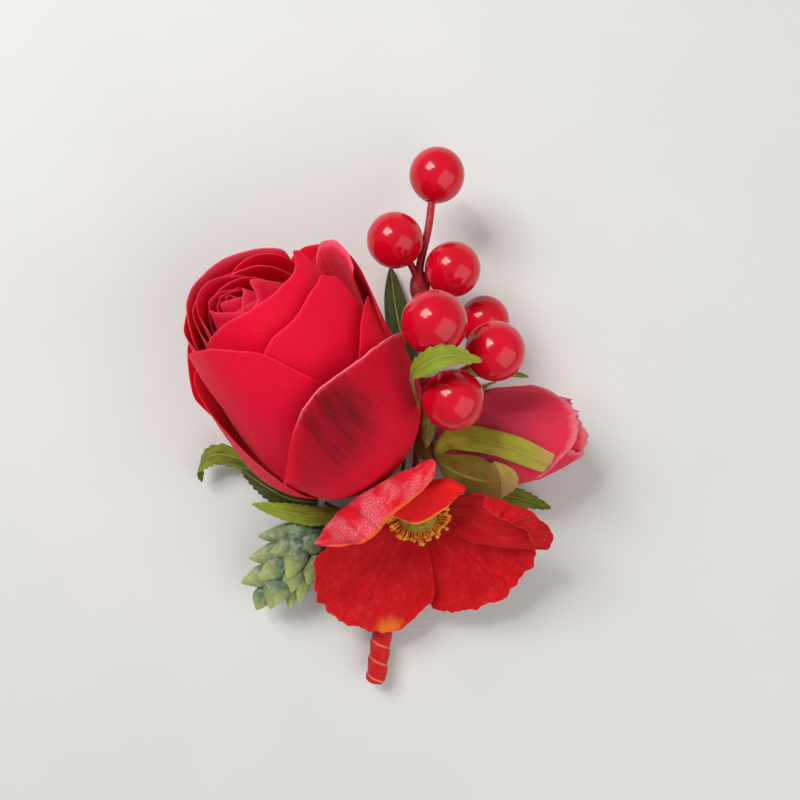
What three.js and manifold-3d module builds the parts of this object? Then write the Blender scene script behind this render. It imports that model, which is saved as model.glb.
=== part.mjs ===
// A silk-flower corsage lying on its back: a rose, a half-open poppy, a rosebud, a spray of berries,
// a succulent sprig and loose leaves, all on wires that one tape wrap binds together.
// Millimetres, +Z up. It rests on z = 0, the bound wires run towards -Y and the berries towards +Y.
import * as THREE from "three";
import Module from "manifold-3d";
import { mergeVertices } from "three/addons/utils/BufferGeometryUtils.js";

// ---- driving dimensions -------------------------------------------------------------------------
const CLOTH = 0.5; // a pressed petal or leaf, with its stiffening
const WIRE = 0.48; // radius of a covered stem wire
const BERRY = 6.0; // radius of a berry bead

const ROSE = {
  base: [-8.6, -14.5, 7.4], heading: 118.5, elevation: 41,
  wide: 20.8, wideAt: 21, height: 52, tuck: 3.4, layer: 1.2, foot: 3.4,
};
const BUD = {
  base: [7.8, -10.7, 10.6], heading: 8, elevation: 6,
  wide: 11.6, wideAt: 15, height: 31.5, tuck: 4.6, layer: 0.95, foot: 2.9,
};
const POPPY = { base: [3.4, -20.5, 9], heading: -84, elevation: 57 };
const WRAP = { top: [-2.3, -40, 3.4], end: [-5.7, -66, 2.75], inner: 2.25, outer: 2.7 };

const COLOUR = {
  rose: 0xc8102e, bud: 0xb8304a, poppy: 0xd01a12, berry: 0xc00a1e, berryWire: 0x9a2028,
  leaf: 0x77862a, sepal: 0x8a7c26, core: 0x9c1c26, calyx: 0x5f7426, wire: 0x4d6b2c,
  succulent: 0x8a9a6a, disc: 0x9a8a18, stamen: 0xd88a12, wrap: 0xb81418,
};
const FINISH = {
  rose: [0.75, 0], bud: [0.75, 0], poppy: [0.7, 0], berry: [0.12, 0], berryWire: [0.45, 0],
  leaf: [0.65, 0], sepal: [0.7, 0], core: [0.8, 0], calyx: [0.6, 0], wire: [0.6, 0],
  succulent: [0.85, 0], disc: [0.6, 0], stamen: [0.6, 0], wrap: [0.55, 0],
};

// ---- small helpers ------------------------------------------------------------------------------
const wasm = await Module();
wasm.setup();

const vec = (x, y, z) => new THREE.Vector3(x, y, z);
const radians = THREE.MathUtils.degToRad;
const mix = THREE.MathUtils.lerp;
const ease = THREE.MathUtils.smoothstep;

const corsage = new THREE.Group();

function material(kind) {
  const [roughness, metalness] = FINISH[kind];
  return new THREE.MeshStandardMaterial({ color: COLOUR[kind], roughness, metalness });
}

function add(parent, name, kind, geometry) {
  const mesh = new THREE.Mesh(geometry, material(kind));
  mesh.name = name;
  parent.add(mesh);
  return mesh;
}

// A group whose +Z is a flower's axis, whose +X faces up and whose +Y is the right of its heading.
function flower({ base, heading, elevation }) {
  const turn = radians(heading);
  const rise = radians(elevation);
  const axis = vec(Math.cos(rise) * Math.cos(turn), Math.cos(rise) * Math.sin(turn), Math.sin(rise));
  const right = vec(Math.sin(turn), -Math.cos(turn), 0);
  const up = new THREE.Vector3().crossVectors(right, axis);
  const group = new THREE.Group();
  group.quaternion.setFromRotationMatrix(new THREE.Matrix4().makeBasis(up, right, axis));
  group.position.set(...base);
  group.updateMatrix();
  corsage.add(group);
  return group;
}

// A value between evenly spaced controls, for u from -1 to 1, on a smooth curve through them.
function along(controls, u) {
  const curve = new THREE.SplineCurve(controls.map((y, i) => new THREE.Vector2(i, y)));
  return curve.getPoint(THREE.MathUtils.clamp((u + 1) / 2, 0, 1)).y;
}

// A closed sheet of even thickness about the surface pointAt(u, v), u from -1 to 1 and v from 0 to 1.
function sheet(pointAt, across, lengthways, thickness = CLOTH) {
  const step = 1e-3;
  const sides = [[], []];
  for (let j = 0; j <= lengthways; j++)
    for (let i = 0; i <= across; i++) {
      const u = (2 * i) / across - 1;
      const v = j / lengthways;
      const du = pointAt(u + step, v).sub(pointAt(u - step, v));
      // From the foot itself the step goes one way, as a petal starts there with no speed.
      const dv = pointAt(u, v + step).sub(pointAt(u, Math.max(v - step, 0)));
      const normal = du.cross(dv).normalize().multiplyScalar(thickness / 2);
      sides[0].push(pointAt(u, v).add(normal));
      sides[1].push(pointAt(u, v).sub(normal));
    }
  const points = [...sides[0], ...sides[1]];
  const under = sides[0].length;
  const at = (i, j) => j * (across + 1) + i;
  const faces = [];
  const quad = (a, b, c, d) => faces.push(a, b, c, a, c, d);
  for (let j = 0; j < lengthways; j++)
    for (let i = 0; i < across; i++) {
      quad(at(i, j), at(i + 1, j), at(i + 1, j + 1), at(i, j + 1));
      quad(under + at(i, j), under + at(i, j + 1), under + at(i + 1, j + 1), under + at(i + 1, j));
    }
  for (let i = 0; i < across; i++) {
    quad(under + at(i, 0), under + at(i + 1, 0), at(i + 1, 0), at(i, 0));
    quad(at(i, lengthways), at(i + 1, lengthways), under + at(i + 1, lengthways), under + at(i, lengthways));
  }
  for (let j = 0; j < lengthways; j++) {
    quad(at(0, j), at(0, j + 1), under + at(0, j + 1), under + at(0, j));
    quad(under + at(across, j), under + at(across, j + 1), at(across, j + 1), at(across, j));
  }
  const geometry = new THREE.BufferGeometry().setFromPoints(points);
  return geometry.setIndex(faces);
}

// A round bar along a smooth curve through the points.
function tube(points, radius, steps, sides = 8) {
  const outline = new THREE.Shape();
  for (let i = 0; i < sides; i++) {
    const turn = (2 * Math.PI * i) / sides;
    const [x, y] = [radius * Math.cos(turn), radius * Math.sin(turn)];
    if (i) outline.lineTo(x, y);
    else outline.moveTo(x, y);
  }
  const path = new THREE.CatmullRomCurve3(points.map((p) => vec(...p)));
  return new THREE.ExtrudeGeometry(outline, { steps, extrudePath: path, curveSegments: 1 });
}

// A solid of revolution about +Z from [radius, height] corners listed from the bottom up.
function turned(profile, sides = 20) {
  const geometry = new THREE.LatheGeometry(profile.map(([r, h]) => new THREE.Vector2(r, h)), sides);
  return geometry.rotateX(Math.PI / 2);
}

function solid(geometry) {
  const bare = geometry.clone();
  for (const name of Object.keys(bare.attributes)) if (name !== "position") bare.deleteAttribute(name);
  const merged = mergeVertices(bare, 1e-4);
  const vertProperties = merged.attributes.position.array;
  const triVerts = new Uint32Array(merged.index.array);
  return new wasm.Manifold(new wasm.Mesh({ numProp: 3, vertProperties, triVerts }));
}

function geometryOf(manifold) {
  const mesh = manifold.getMesh();
  const geometry = new THREE.BufferGeometry();
  geometry.setAttribute("position", new THREE.BufferAttribute(mesh.vertProperties, 3));
  return geometry.setIndex(new THREE.BufferAttribute(mesh.triVerts, 1));
}

const joined = (pieces) => geometryOf(pieces.map(solid).reduce((whole, piece) => whole.add(piece)));
const cut = (body, tool) => geometryOf(solid(body).subtract(solid(tool)));

// ---- petals that wrap a cup ---------------------------------------------------------------------
// A cup is a round bowl up to its widest height and a wall above it that closes in by `tuck` and
// leans to the left by `lean`. `inset` is how far a petal lies inside the outermost layer.
function cupPoint(cup, { inset, tuck, lean }, azimuth, height) {
  const below = Math.max(0, cup.wideAt - height) / (cup.wideAt - inset);
  const above = Math.max(0, height - cup.wideAt) / (cup.height - cup.wideAt);
  const radius = (cup.wide - inset) * Math.sqrt(1 - Math.min(1, below) ** 2) - tuck * above ** 2;
  const turn = radians(azimuth);
  return vec(radius * Math.cos(turn), radius * Math.sin(turn) - lean * above ** 2, height);
}

// `middle` and `half` are the petal's azimuth and half its width in degrees, `rim` its heights from
// its left side to its right, `neck` how narrow its foot is, `flare` how far its rim stands out,
// `flick` how far its left corner sweeps on, and `skew` how far its top turns.
function cupPetal(cup, petal, thickness = CLOTH) {
  const { layer, middle, half, rim, neck = 0.5, flare = 0.5, flick = 0, skew = 0 } = petal;
  const inset = layer * cup.layer;
  const wall = { inset, tuck: petal.tuck ?? cup.tuck, lean: petal.lean ?? 0 };
  const foot = cup.wideAt - (cup.wideAt - inset) * Math.sqrt(1 - (cup.foot / (cup.wide - inset)) ** 2);
  const pointAt = (u, v) => {
    const height = foot + (along(rim, u) - foot) * v ** 2;
    const width = half * mix(neck, 1, ease(v, 0, 0.6));
    const corner = flick * Math.max(0, -u) ** 3 * ease(v, 0.8, 1);
    const point = cupPoint(cup, wall, middle + skew * (v - 1) + u * width - corner, height);
    const out = 1 + (flare * ease(v, 0.72, 1) ** 2) / Math.hypot(point.x, point.y);
    return point.multiply(vec(out, out, 1));
  };
  return sheet(pointAt, Math.max(6, Math.round(half / 8)), 6, thickness);
}

// ---- rose ---------------------------------------------------------------------------------------
const ROSE_PETALS = {
  front_right: { layer: 0, middle: 28, half: 66, neck: 0.85, rim: [22, 39.5, 42, 37.5, 27], flare: 1 },
  low_left: { layer: 0, middle: -97, half: 54, rim: [26, 37, 40, 38, 22], flare: 0.5 },
  under: { layer: -1, middle: -145, half: 46, rim: [28, 40, 43, 42, 36], flare: 1.8 },
  back_right: { layer: 0, middle: 138, half: 31, rim: [38, 46, 47, 45, 40], flare: 0.5 },
  right_low: { layer: 0.8, middle: 69, half: 36, rim: [38, 42, 42.5, 40, 33], flare: 0 },
  front_left: { layer: 1.1, middle: -25, half: 36, flick: 24, rim: [50, 53, 52.4, 49.5, 41], tuck: 4.4, lean: 1, flare: 0.2 },
  right: { layer: 1.5, middle: 108, half: 38, rim: [40, 46, 47, 46, 42], tuck: 3, flare: 0.1 },
  left: { layer: 2, middle: -98, half: 48, rim: [46, 51.5, 52, 51.5, 47], flare: 0.1 },
  front_middle: { layer: 2.4, middle: 26, half: 50, rim: [46, 51.5, 52.6, 51.6, 49.5], tuck: 4.4, lean: 1, flare: 0 },
  curled: { layer: 3, middle: 112, half: 29, rim: [49, 51, 51, 49, 44], tuck: 2.6, flare: 0.8 },
  lip: { layer: 3, middle: -148, half: 68, rim: [52, 54, 55, 54.5, 50] },
  front_inner: { layer: 4, middle: 6, half: 80, rim: [50, 55.8, 57.6, 55.2, 55.5], tuck: 4.6, lean: 1, flare: 0 },
  back: { layer: 4, middle: 148, half: 46, rim: [48, 53, 54, 53.5, 52], tuck: 4.9, lean: 1.5, flare: 0.3 },
  lip_inner: { layer: 5.2, middle: -130, half: 60, rim: [52, 54.5, 55, 54.5, 53], tuck: 7, lean: 3.2, flare: 0.3 },
  tip: { layer: 5.2, middle: 36, half: 62, rim: [51, 53, 54, 55.5, 52], tuck: 7, lean: 3.2, flare: 0 },
  swirl_outer: { layer: 6.4, middle: -80, half: 115, rim: [52, 54, 54.5, 54, 52.5], tuck: 7.6, lean: 3.8, flare: 0 },
  swirl_middle: { layer: 7.6, middle: 90, half: 115, rim: [51, 53.4, 54, 53.4, 51], tuck: 7.6, lean: 4.2, flare: 0 },
};

function buildRose() {
  const rose = flower(ROSE);
  for (const [name, petal] of Object.entries(ROSE_PETALS))
    add(rose, `rose_petal_${name}`, "rose", cupPetal(ROSE, petal));
  add(rose, "rose_core", "core", turned([[0, -0.4], [1.8, 0], [2.5, 8], [2.6, 34], [2.2, 43], [0, 46]]));
  add(rose, "rose_calyx", "calyx", turned([[0, -5], [1.2, -4.9], [2.6, -3.4], [4.4, -2], [4.6, -1.4], [0, -1.4]]));
}

// ---- rosebud, lying on its side -----------------------------------------------------------------
const BUD_PETALS = {
  top: { layer: 0, middle: -18, half: 72, rim: [24, 29.5, 31.5, 30, 23] },
  front: { layer: 1, middle: 72, half: 62, rim: [25, 30.5, 32, 30.5, 25], flare: 0.1 },
  below: { layer: 0, middle: 165, half: 60, rim: [23, 28.5, 30, 28.5, 23] },
  rear: { layer: 1, middle: -105, half: 62, rim: [25, 30.5, 31.5, 30.5, 25], flare: 0.1 },
  fold: { layer: 2, middle: 15, half: 100, rim: [27.5, 31.5, 33, 32.5, 28.5], flare: 0.1 },
  inner: { layer: 3, middle: -150, half: 110, rim: [26.5, 31.5, 32.5, 32, 27.5], flare: 0 },
};
const BUD_SEPALS = {
  long: { layer: -1.2, middle: 2, half: 13, rim: [20, 23.5, 24.5, 23.5, 20], skew: 24, flare: 0.8 },
  broad: { layer: -1.2, middle: 50, half: 27, rim: [8, 13, 14.5, 14, 11], flare: 0.6 },
  folded: { layer: -2.2, middle: 62, half: 12, rim: [11, 14.5, 16.5, 14.5, 11], skew: 12, flare: 0.6 },
  rear: { layer: -1.2, middle: -62, half: 14, rim: [9, 12, 15, 12, 9], skew: -10, flare: 0.8 },
};

function buildBud() {
  const bud = flower(BUD);
  for (const [name, petal] of Object.entries(BUD_PETALS))
    add(bud, `bud_petal_${name}`, "bud", cupPetal(BUD, petal));
  add(bud, "bud_core", "core", turned([[0, 0.2], [1.7, 0.6], [2.2, 6], [2.4, 20], [1.6, 26], [0, 27]], 14));
  const cone = turned([[0, -4.5], [1.1, -4.4], [2.6, -2.9], [3.6, -1.8], [3.6, -0.42], [0, -0.42]], 14);
  const sepals = Object.values(BUD_SEPALS).map((sepal) => cupPetal(BUD, { neck: 0.9, ...sepal }));
  add(bud, "bud_calyx", "sepal", joined([cone, ...sepals]));
}

// ---- poppy, half open ---------------------------------------------------------------------------
// Each petal is a loft through rows of points from its foot to its rim, left side to right side.
function loft(rows) {
  const curves = rows.map((row) => new THREE.CatmullRomCurve3(row.map((p) => vec(...p))));
  return (u, v) => {
    const across = THREE.MathUtils.clamp((u + 1) / 2, 0, 1);
    const spine = new THREE.CatmullRomCurve3(curves.map((curve) => curve.getPoint(across)));
    return spine.getPoint(THREE.MathUtils.clamp(v, 0, 1));
  };
}

const POPPY_PETALS = {
  lower_left: [
    [[0.7, -23.4, 14], [1.1, -24.9, 13], [2.2, -25.8, 12.4], [3.4, -26.1, 12.1], [4.7, -25.9, 12.1]],
    [[-12.5, -30, 18.5], [-10.5, -36.5, 13.2], [-4.8, -41, 9.8], [1.6, -42.2, 9.2], [7.4, -38.5, 10.6]],
    [[-19, -33.3, 20.6], [-18.2, -45.1, 13.5], [-9.1, -51.9, 9], [0, -52.5, 8], [8.4, -45.4, 9.8]],
  ],
  lower_right: [
    [[3.3, -26.1, 10.6], [4.9, -25.9, 10.6], [6.2, -25.1, 11], [7.1, -23.9, 11.8], [7.4, -22.8, 12.4]],
    [[5.4, -41, 7.4], [13, -41, 8.8], [18.8, -37, 11], [21.5, -32, 14], [21.8, -28, 16.6]],
    [[6.9, -48.6, 7.4], [14.8, -48, 9], [23.5, -44, 12], [28.4, -37, 15.5], [31.5, -31.5, 18]],
  ],
  right: [
    [[6.5, -24.4, 13.2], [6.7, -23.5, 13.8], [6.5, -22.7, 14.3], [6.2, -22.2, 14.6], [5.9, -21.8, 14.9]],
    [[15.5, -31, 17], [19, -28.5, 19.2], [19.5, -25, 21.8], [17.4, -22, 23], [14.6, -19.8, 23.6]],
    [[31.1, -32.2, 20.4], [32.1, -28.5, 23], [28.1, -23.9, 26], [22.6, -21.2, 28], [17, -19.6, 28.8]],
    [[28, -30.8, 22.6], [27.1, -27.6, 25.8], [23.3, -25.5, 28], [19.8, -24, 29.2], [16.4, -22, 29.8]],
  ],
  tongue: [
    [[1.4, -22, 15.1], [2.4, -21.4, 15.4], [3.5, -21.1, 15.5], [4.6, -21.1, 15.4]],
    [[-2.2, -21.4, 20.8], [3.4, -18.6, 22.2], [8.8, -16.8, 23.4], [12.4, -18, 23.8]],
    [[-3, -23, 26], [3, -19.6, 27.6], [9, -17, 28.6], [13.6, -18.6, 28.6]],
    [[-2, -25.3, 25.2], [4, -26.1, 24.2], [9, -23, 26.2], [12.2, -20, 28.2]],
  ],
  upper_left: [
    [[0.1, -23.8, 12.3], [0, -22.5, 13.1], [0.8, -21, 14], [2.4, -20, 14.6]],
    [[-13.2, -29.8, 14.6], [-10.4, -25.4, 17], [-3.6, -21, 19.6], [5, -15, 20.8]],
    [[-17, -28.2, 22.6], [-11.3, -23, 27.4], [-3.2, -17.6, 30], [5.5, -12.8, 31]],
    [[-11.8, -30.4, 24.6], [-6.2, -27.3, 28.4], [-1, -21.6, 31], [7.4, -15.8, 32]],
  ],
};

function buildPoppy() {
  for (const [name, rows] of Object.entries(POPPY_PETALS))
    add(corsage, `poppy_petal_${name}`, "poppy", sheet(loft(rows), 10, 8));
  const poppy = flower(POPPY);
  const seat = [[0, -3.6], [1.1, -3.4], [2.4, -1.8], [2.2, -0.2], [1.7, 0.6], [1.8, 6], [1.2, 7.4], [0, 7.4]];
  add(poppy, "poppy_receptacle", "calyx", turned(seat, 14));
  const dome = [[0, 7.8], [2.6, 7.9], [4.1, 8.6], [4.2, 9.6], [3.4, 10.6], [1.6, 11.2], [0, 11.3]];
  add(poppy, "poppy_disc", "disc", turned(dome, 20));
  const fringe = new THREE.Shape();
  const points = 30;
  for (let i = 0; i < 2 * points; i++) {
    const turn = (Math.PI * i) / points;
    const reach = i % 2 ? 5.8 : 6.9;
    fringe[i ? "lineTo" : "moveTo"](reach * Math.cos(turn), reach * Math.sin(turn));
  }
  fringe.holes.push(new THREE.Path().absarc(0, 0, 4.6, 0, 2 * Math.PI, true));
  const ring = new THREE.ExtrudeGeometry(fringe, { depth: 0.8, bevelEnabled: false, curveSegments: 10 });
  add(poppy, "poppy_stamens", "stamen", ring.translate(0, 0, 9.2));
}

// ---- leaves -------------------------------------------------------------------------------------
// A leaf follows a spine; `side` points from its left edge to its right, `hollow` sinks its midrib.
// The first `stalk` of its length stays narrow.
function leaf({ spine, side, width, hollow = 0.4, blunt = 0.25, stalk = 0 }) {
  const curve = new THREE.CatmullRomCurve3(spine.map((p) => vec(...p)));
  const across = vec(...side).normalize();
  return (u, v) => {
    const at = THREE.MathUtils.clamp(v, 0, 1);
    const tangent = curve.getTangent(at);
    const lateral = across.clone().addScaledVector(tangent, -across.dot(tangent)).normalize();
    const lift = new THREE.Vector3().crossVectors(lateral, tangent);
    const blade = Math.max(0, at - stalk) / (1 - stalk);
    const reach = (width / 2) * mix(blunt, 1, Math.abs(Math.sin(Math.PI * blade ** 0.8)) ** 0.7);
    return curve.getPoint(at).addScaledVector(lateral, u * reach).addScaledVector(lift, hollow * u * u);
  };
}

const LEAVES = {
  over_berries: {
    spine: [[3.9, -1, 29], [3, 1.6, 36], [2.6, 4.6, 42], [5, 6.8, 45.4], [9, 8.2, 46.4], [15.2, 7.2, 44]],
    side: [0.35, -0.9, 0.1], width: 4.4, stalk: 0.42, blunt: 0.34,
  },
  between: { spine: [[6.3, -1.6, 27], [5.9, -6, 23.4], [5.6, -10.4, 19.8]], side: [1, 0.1, 0.3], width: 2.8 },
  behind_berries: { spine: [[3.2, 4, 2.2], [0.6, 14, 1.4], [-1.2, 23, 0.7], [-2.2, 31.5, 0.5]], side: [1, 0.1, 0], width: 6 },
  under_rose: { spine: [[-12.8, -25.4, 11.4], [-19, -26, 12.4], [-26, -25, 11.6], [-33.6, -23.6, 9.6]], side: [0, -1, 0.1], width: 4.4 },
  low_left: { spine: [[-19, -23.8, 5], [-25.5, -22.8, 6.2], [-31, -19.8, 7], [-36.4, -16, 7.4]], side: [-0.4, -1, 0.1], width: 5 },
  bent_tip: { spine: [[-28.6, -17, 1.4], [-36, -14.2, 3.2], [-42.7, -12.6, 5.2], [-46.6, -15.4, 4.2], [-46.9, -19.2, 2]], side: [-0.3, -1, 0.1], width: 4.6 },
  under_bud: { spine: [[15.6, -19.8, 1.6], [21.5, -21.8, 2.6], [28, -23, 3.2], [35.4, -25.4, 2.4]], side: [-0.2, -1, 0.1], width: 5 },
  behind_bud: { spine: [[13.5, 5.8, 3], [19, 6.4, 6.6], [24, 6.2, 9.6], [29, 5.2, 11]], side: [0, -1, 0.1], width: 2.2 },
};

function buildLeaves() {
  for (const [name, shape] of Object.entries(LEAVES))
    add(corsage, `leaf_${name}`, "leaf", sheet(leaf(shape), 4, 9));
}

// ---- berries ------------------------------------------------------------------------------------
// Each bead is bored where its stem goes in. `stem` leaves the taped branch and ends by the bead.
const BERRIES = {
  top: { at: [8, 48.7, 18.4], radius: BERRY, stem: [[4.3, 24.6, 17.4], [4.3, 29, 18.4], [6.1, 37, 18.6], [7, 44, 18.4]], thick: 0.85 },
  left: { at: [-1.1, 34, 21.7], radius: BERRY, stem: [[4.4, 22.6, 15.4], [3.4, 27, 18.4], [1.8, 30, 20.2]], thick: 0.75 },
  right: { at: [11.3, 28.1, 19.8], radius: BERRY, stem: [[4.8, 17, 9.2], [8.2, 22, 10], [10.4, 26.4, 14]], thick: 0.6 },
  middle: { at: [6.5, 14.6, 42], radius: 6.3, stem: [[5, 8.6, 4.4], [5.6, 10.6, 22], [6.3, 13.8, 35.6]], thick: 0.6 },
  back: { at: [18.8, 17.7, 12], radius: 5.7, stem: [[5, 10, 4.8], [11, 13.4, 6], [15, 15.6, 9.2]], thick: 0.6 },
  outer: { at: [18.9, 9.7, 34], radius: BERRY, stem: [[5, 4, 3.6], [12.4, 6, 17], [17.6, 9, 28]], thick: 0.6 },
  low: { at: [10.4, 0, 37], radius: 6.1, stem: [[5, 0.6, 3], [6.6, -0.4, 20], [9.6, -0.3, 31]], thick: 0.6 },
};
const BRANCH = [[3.6, -16, 1.5], [5, 0, 3], [5, 12, 5.2], [4.6, 19, 11.4], [4.3, 24.6, 17.4]];

// The beads' stems are taped together into one branched piece, thickest where it forks.
function buildBerries(wirePath) {
  const pieces = [
    tube([...wirePath, ...BRANCH.slice(0, 2)], WIRE, 22, 6),
    tube(BRANCH, 0.8, 18),
    new THREE.IcosahedronGeometry(1.4, 2).applyMatrix4(new THREE.Matrix4().makeScale(0.85, 1.9, 0.9)).translate(...BRANCH[4]),
  ];
  for (const [name, { at, radius, stem, thick }] of Object.entries(BERRIES)) {
    const centre = vec(...at);
    const towards = vec(...stem[stem.length - 1]).sub(centre).normalize();
    const bore = new THREE.CylinderGeometry(thick + 0.4, thick + 0.4, 6, 12);
    bore.applyQuaternion(new THREE.Quaternion().setFromUnitVectors(vec(0, 1, 0), towards));
    bore.translate(...towards.clone().multiplyScalar(radius + 0.6));
    const bead = cut(new THREE.IcosahedronGeometry(radius, 3), bore);
    add(corsage, `berry_${name}`, "berry", bead.translate(...at));
    const end = centre.clone().addScaledVector(towards, radius - 1.6);
    pieces.push(tube([...stem, end.toArray()], thick, 12));
  }
  add(corsage, "berry_branch", "berryWire", joined(pieces));
}

// ---- succulent sprig ----------------------------------------------------------------------------
// One moulded piece: plump leaflets on a short bent stem, each from a root on it to its own tip.
const SPRIG = {
  stem: [[-14.4, -30.4, 9], [-19.6, -31.8, 8.4], [-25, -36.6, 8], [-29.6, -42.6, 7.8]],
  leaflets: [
    { root: [-18.4, -30, 7.6], tip: [-31.6, -31.2, 7.4], width: 4.4 },
    { root: [-22, -34, 8.4], tip: [-33.6, -36, 8.2], width: 5 },
    { root: [-26.4, -38.4, 8.2], tip: [-35.6, -41.4, 8.6], width: 4.4 },
    { root: [-27.6, -38, 8.6], tip: [-29.4, -47, 8.4], width: 4.6 },
    { root: [-30, -42, 7.4], tip: [-32.8, -47.8, 7], width: 4 },
    { root: [-21.4, -30, 9.6], tip: [-25, -39.6, 11], width: 5 },
    { root: [-23.4, -35.4, 8.4], tip: [-24.8, -43.2, 9.6], width: 4.8 },
    { root: [-24.4, -37.6, 7.4], tip: [-25.2, -47.6, 7.4], width: 3 },
    { root: [-20.8, -33.4, 7.6], tip: [-21.4, -43, 8], width: 3.4 },
    { root: [-17.4, -30.4, 9], tip: [-22.4, -34.4, 10.6], width: 4.6 },
    { root: [-19.4, -32, 6.8], tip: [-30, -34.6, 5], width: 4.6 },
    { root: [-24, -36.4, 6.8], tip: [-31.4, -39.6, 4.6], width: 4.6 },
    { root: [-17.6, -31, 8], tip: [-18.2, -38.4, 7.4], width: 3.6 },
    { root: [-22.6, -34.6, 7], tip: [-23.4, -42.4, 4.8], width: 4.4 },
    { root: [-27.4, -40.6, 6.8], tip: [-29, -46, 4.8], width: 4 },
  ],
};

function buildSucculent() {
  const pieces = [tube(SPRIG.stem, 1.7, 8)];
  for (const { root, tip, width } of SPRIG.leaflets) {
    const lie = vec(...tip).sub(vec(...root));
    const length = lie.length();
    lie.normalize();
    const across = new THREE.Vector3().crossVectors(lie, vec(0, 0, 1)).normalize();
    const over = new THREE.Vector3().crossVectors(across, lie);
    const shape = new THREE.IcosahedronGeometry(1, 1).scale(width / 2, length * 0.54, width * 0.38);
    shape.applyMatrix4(new THREE.Matrix4().makeBasis(across, lie, over));
    const centre = vec(...root).addScaledVector(lie, length * 0.48);
    pieces.push(shape.translate(...centre));
  }
  add(corsage, "succulent_sprig", "succulent", joined(pieces));
}

// ---- stem wires and the wrap round them ---------------------------------------------------------
// Seven wires lie in the wrap, one in the middle and six about it, then part to their flowers.
const STEMS = {
  rose: { slot: null, to: [[-3.9, -30, 3], [-5.3, -23.4, 1.6], [-6.5, -18.6, 2.4]] },
  poppy: { slot: 90, to: [[-0.4, -33, 4.2], [2, -24, 4], [2.9, -19.4, 4.9]] },
  bud: { slot: 30, to: [[2.4, -33, 3.4], [6.6, -22, 3.8], [5.2, -14.4, 7.4]] },
  berries: { slot: -30, to: [[1.2, -33, 1.6], [2.4, -25, 1.4]] },
  leaves: { slot: -90, to: [[-3.6, -34, 1.2], [-0.2, -24, 1.2], [1.2, -12, 1.6], [3.6, -3, 1.2]] },
  succulent: { slot: 150, to: [[-5, -35.4, 4], [-9.4, -32, 6.6], [-13, -30.6, 8.6]] },
  foliage: { slot: -150, to: [[-5.4, -34, 1.6], [-12, -27.4, 2], [-17.6, -24, 3.6]] },
};

function buildStem() {
  const end = vec(...WRAP.end);
  const top = vec(...WRAP.top);
  const length = top.distanceTo(end);
  const axis = top.clone().sub(end).normalize();
  const right = new THREE.Vector3().crossVectors(axis, vec(0, 0, 1)).normalize();
  const up = new THREE.Vector3().crossVectors(right, axis);
  const { inner, outer } = WRAP;
  const sleeve = turned([[0, 0], [outer - 0.3, 0], [outer, 0.3], [outer, length], [inner, length], [inner, 0.8], [0, 0.8]], 20);
  sleeve.applyMatrix4(new THREE.Matrix4().makeBasis(right, up.clone().negate(), axis));
  add(corsage, "stem_wrap", "wrap", sleeve.translate(...end));
  for (const [name, { slot, to }] of Object.entries(STEMS)) {
    const offset = vec(0, 0, 0);
    if (slot !== null)
      offset.addScaledVector(right, 1.5 * Math.cos(radians(slot))).addScaledVector(up, 1.5 * Math.sin(radians(slot)));
    const start = [1.4, length / 2, length + 1].map((t) => end.clone().addScaledVector(axis, t).add(offset).toArray());
    const path = [...start, ...to];
    if (name === "berries") buildBerries(path);
    else add(corsage, `stem_${name}`, "wire", tube(path, WIRE, 20, 6));
  }
}

buildRose();
buildBud();
buildPoppy();
buildLeaves();
buildSucculent();
buildStem();

// The origin is the middle of the underside.
corsage.updateMatrixWorld(true);
const box = new THREE.Box3().setFromObject(corsage, true);
const middle = box.getCenter(new THREE.Vector3());
corsage.position.set(-middle.x, -middle.y, -box.min.z);

export default corsage;
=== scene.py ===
# %% [markdown]
# # A silk-flower corsage
# A large red rose, a half-open poppy, a rosebud, lacquered berries, a succulent sprig and loose
# leaves are wired together and the wires are bound in one ribbon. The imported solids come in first,
# and every finer piece is built in their place, in metres, on the same axes.

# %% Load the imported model
import math
import random

import bmesh
import bpy
from mathutils import Matrix, Vector, noise


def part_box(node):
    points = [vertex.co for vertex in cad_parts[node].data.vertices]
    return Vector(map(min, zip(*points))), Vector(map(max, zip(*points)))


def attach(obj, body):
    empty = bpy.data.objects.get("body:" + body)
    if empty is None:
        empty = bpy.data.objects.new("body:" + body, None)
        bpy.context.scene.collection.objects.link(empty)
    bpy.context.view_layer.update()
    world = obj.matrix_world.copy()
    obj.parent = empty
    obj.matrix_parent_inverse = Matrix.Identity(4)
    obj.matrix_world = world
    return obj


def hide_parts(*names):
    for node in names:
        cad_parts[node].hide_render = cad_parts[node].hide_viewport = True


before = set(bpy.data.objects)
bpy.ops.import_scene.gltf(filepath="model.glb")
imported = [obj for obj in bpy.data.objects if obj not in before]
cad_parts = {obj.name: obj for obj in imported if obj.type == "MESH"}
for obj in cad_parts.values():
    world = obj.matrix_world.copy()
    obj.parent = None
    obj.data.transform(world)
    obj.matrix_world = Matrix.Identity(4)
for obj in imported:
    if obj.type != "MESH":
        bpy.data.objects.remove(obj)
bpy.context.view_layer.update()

# %% [markdown]
# The flowers were laid out in millimetres about the point where the stems cross. The finished model
# is moved so that its origin is the middle of its underside, so one known bead tells how far.

# %% Find the layout's place in the model
MM = 0.001
TOP_BEAD = Vector((8.0, 48.7, 18.4))
BEAD_RADIUS = 6.0
highest = Vector(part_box("berry_top")[1]) / MM
LAYOUT = highest - (TOP_BEAD + Vector((BEAD_RADIUS,) * 3))
print("layout origin in mm", [round(value, 2) for value in LAYOUT])


def placed(point):
    """A layout point in millimetres as a model point in metres."""
    return (Vector(point) + LAYOUT) * MM


# %% [markdown]
# The camera hangs straight above the corsage and looks down. A lens of about 39 mm at this short
# distance gives the real perspective, in which the high berries look larger than the low ones.

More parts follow.
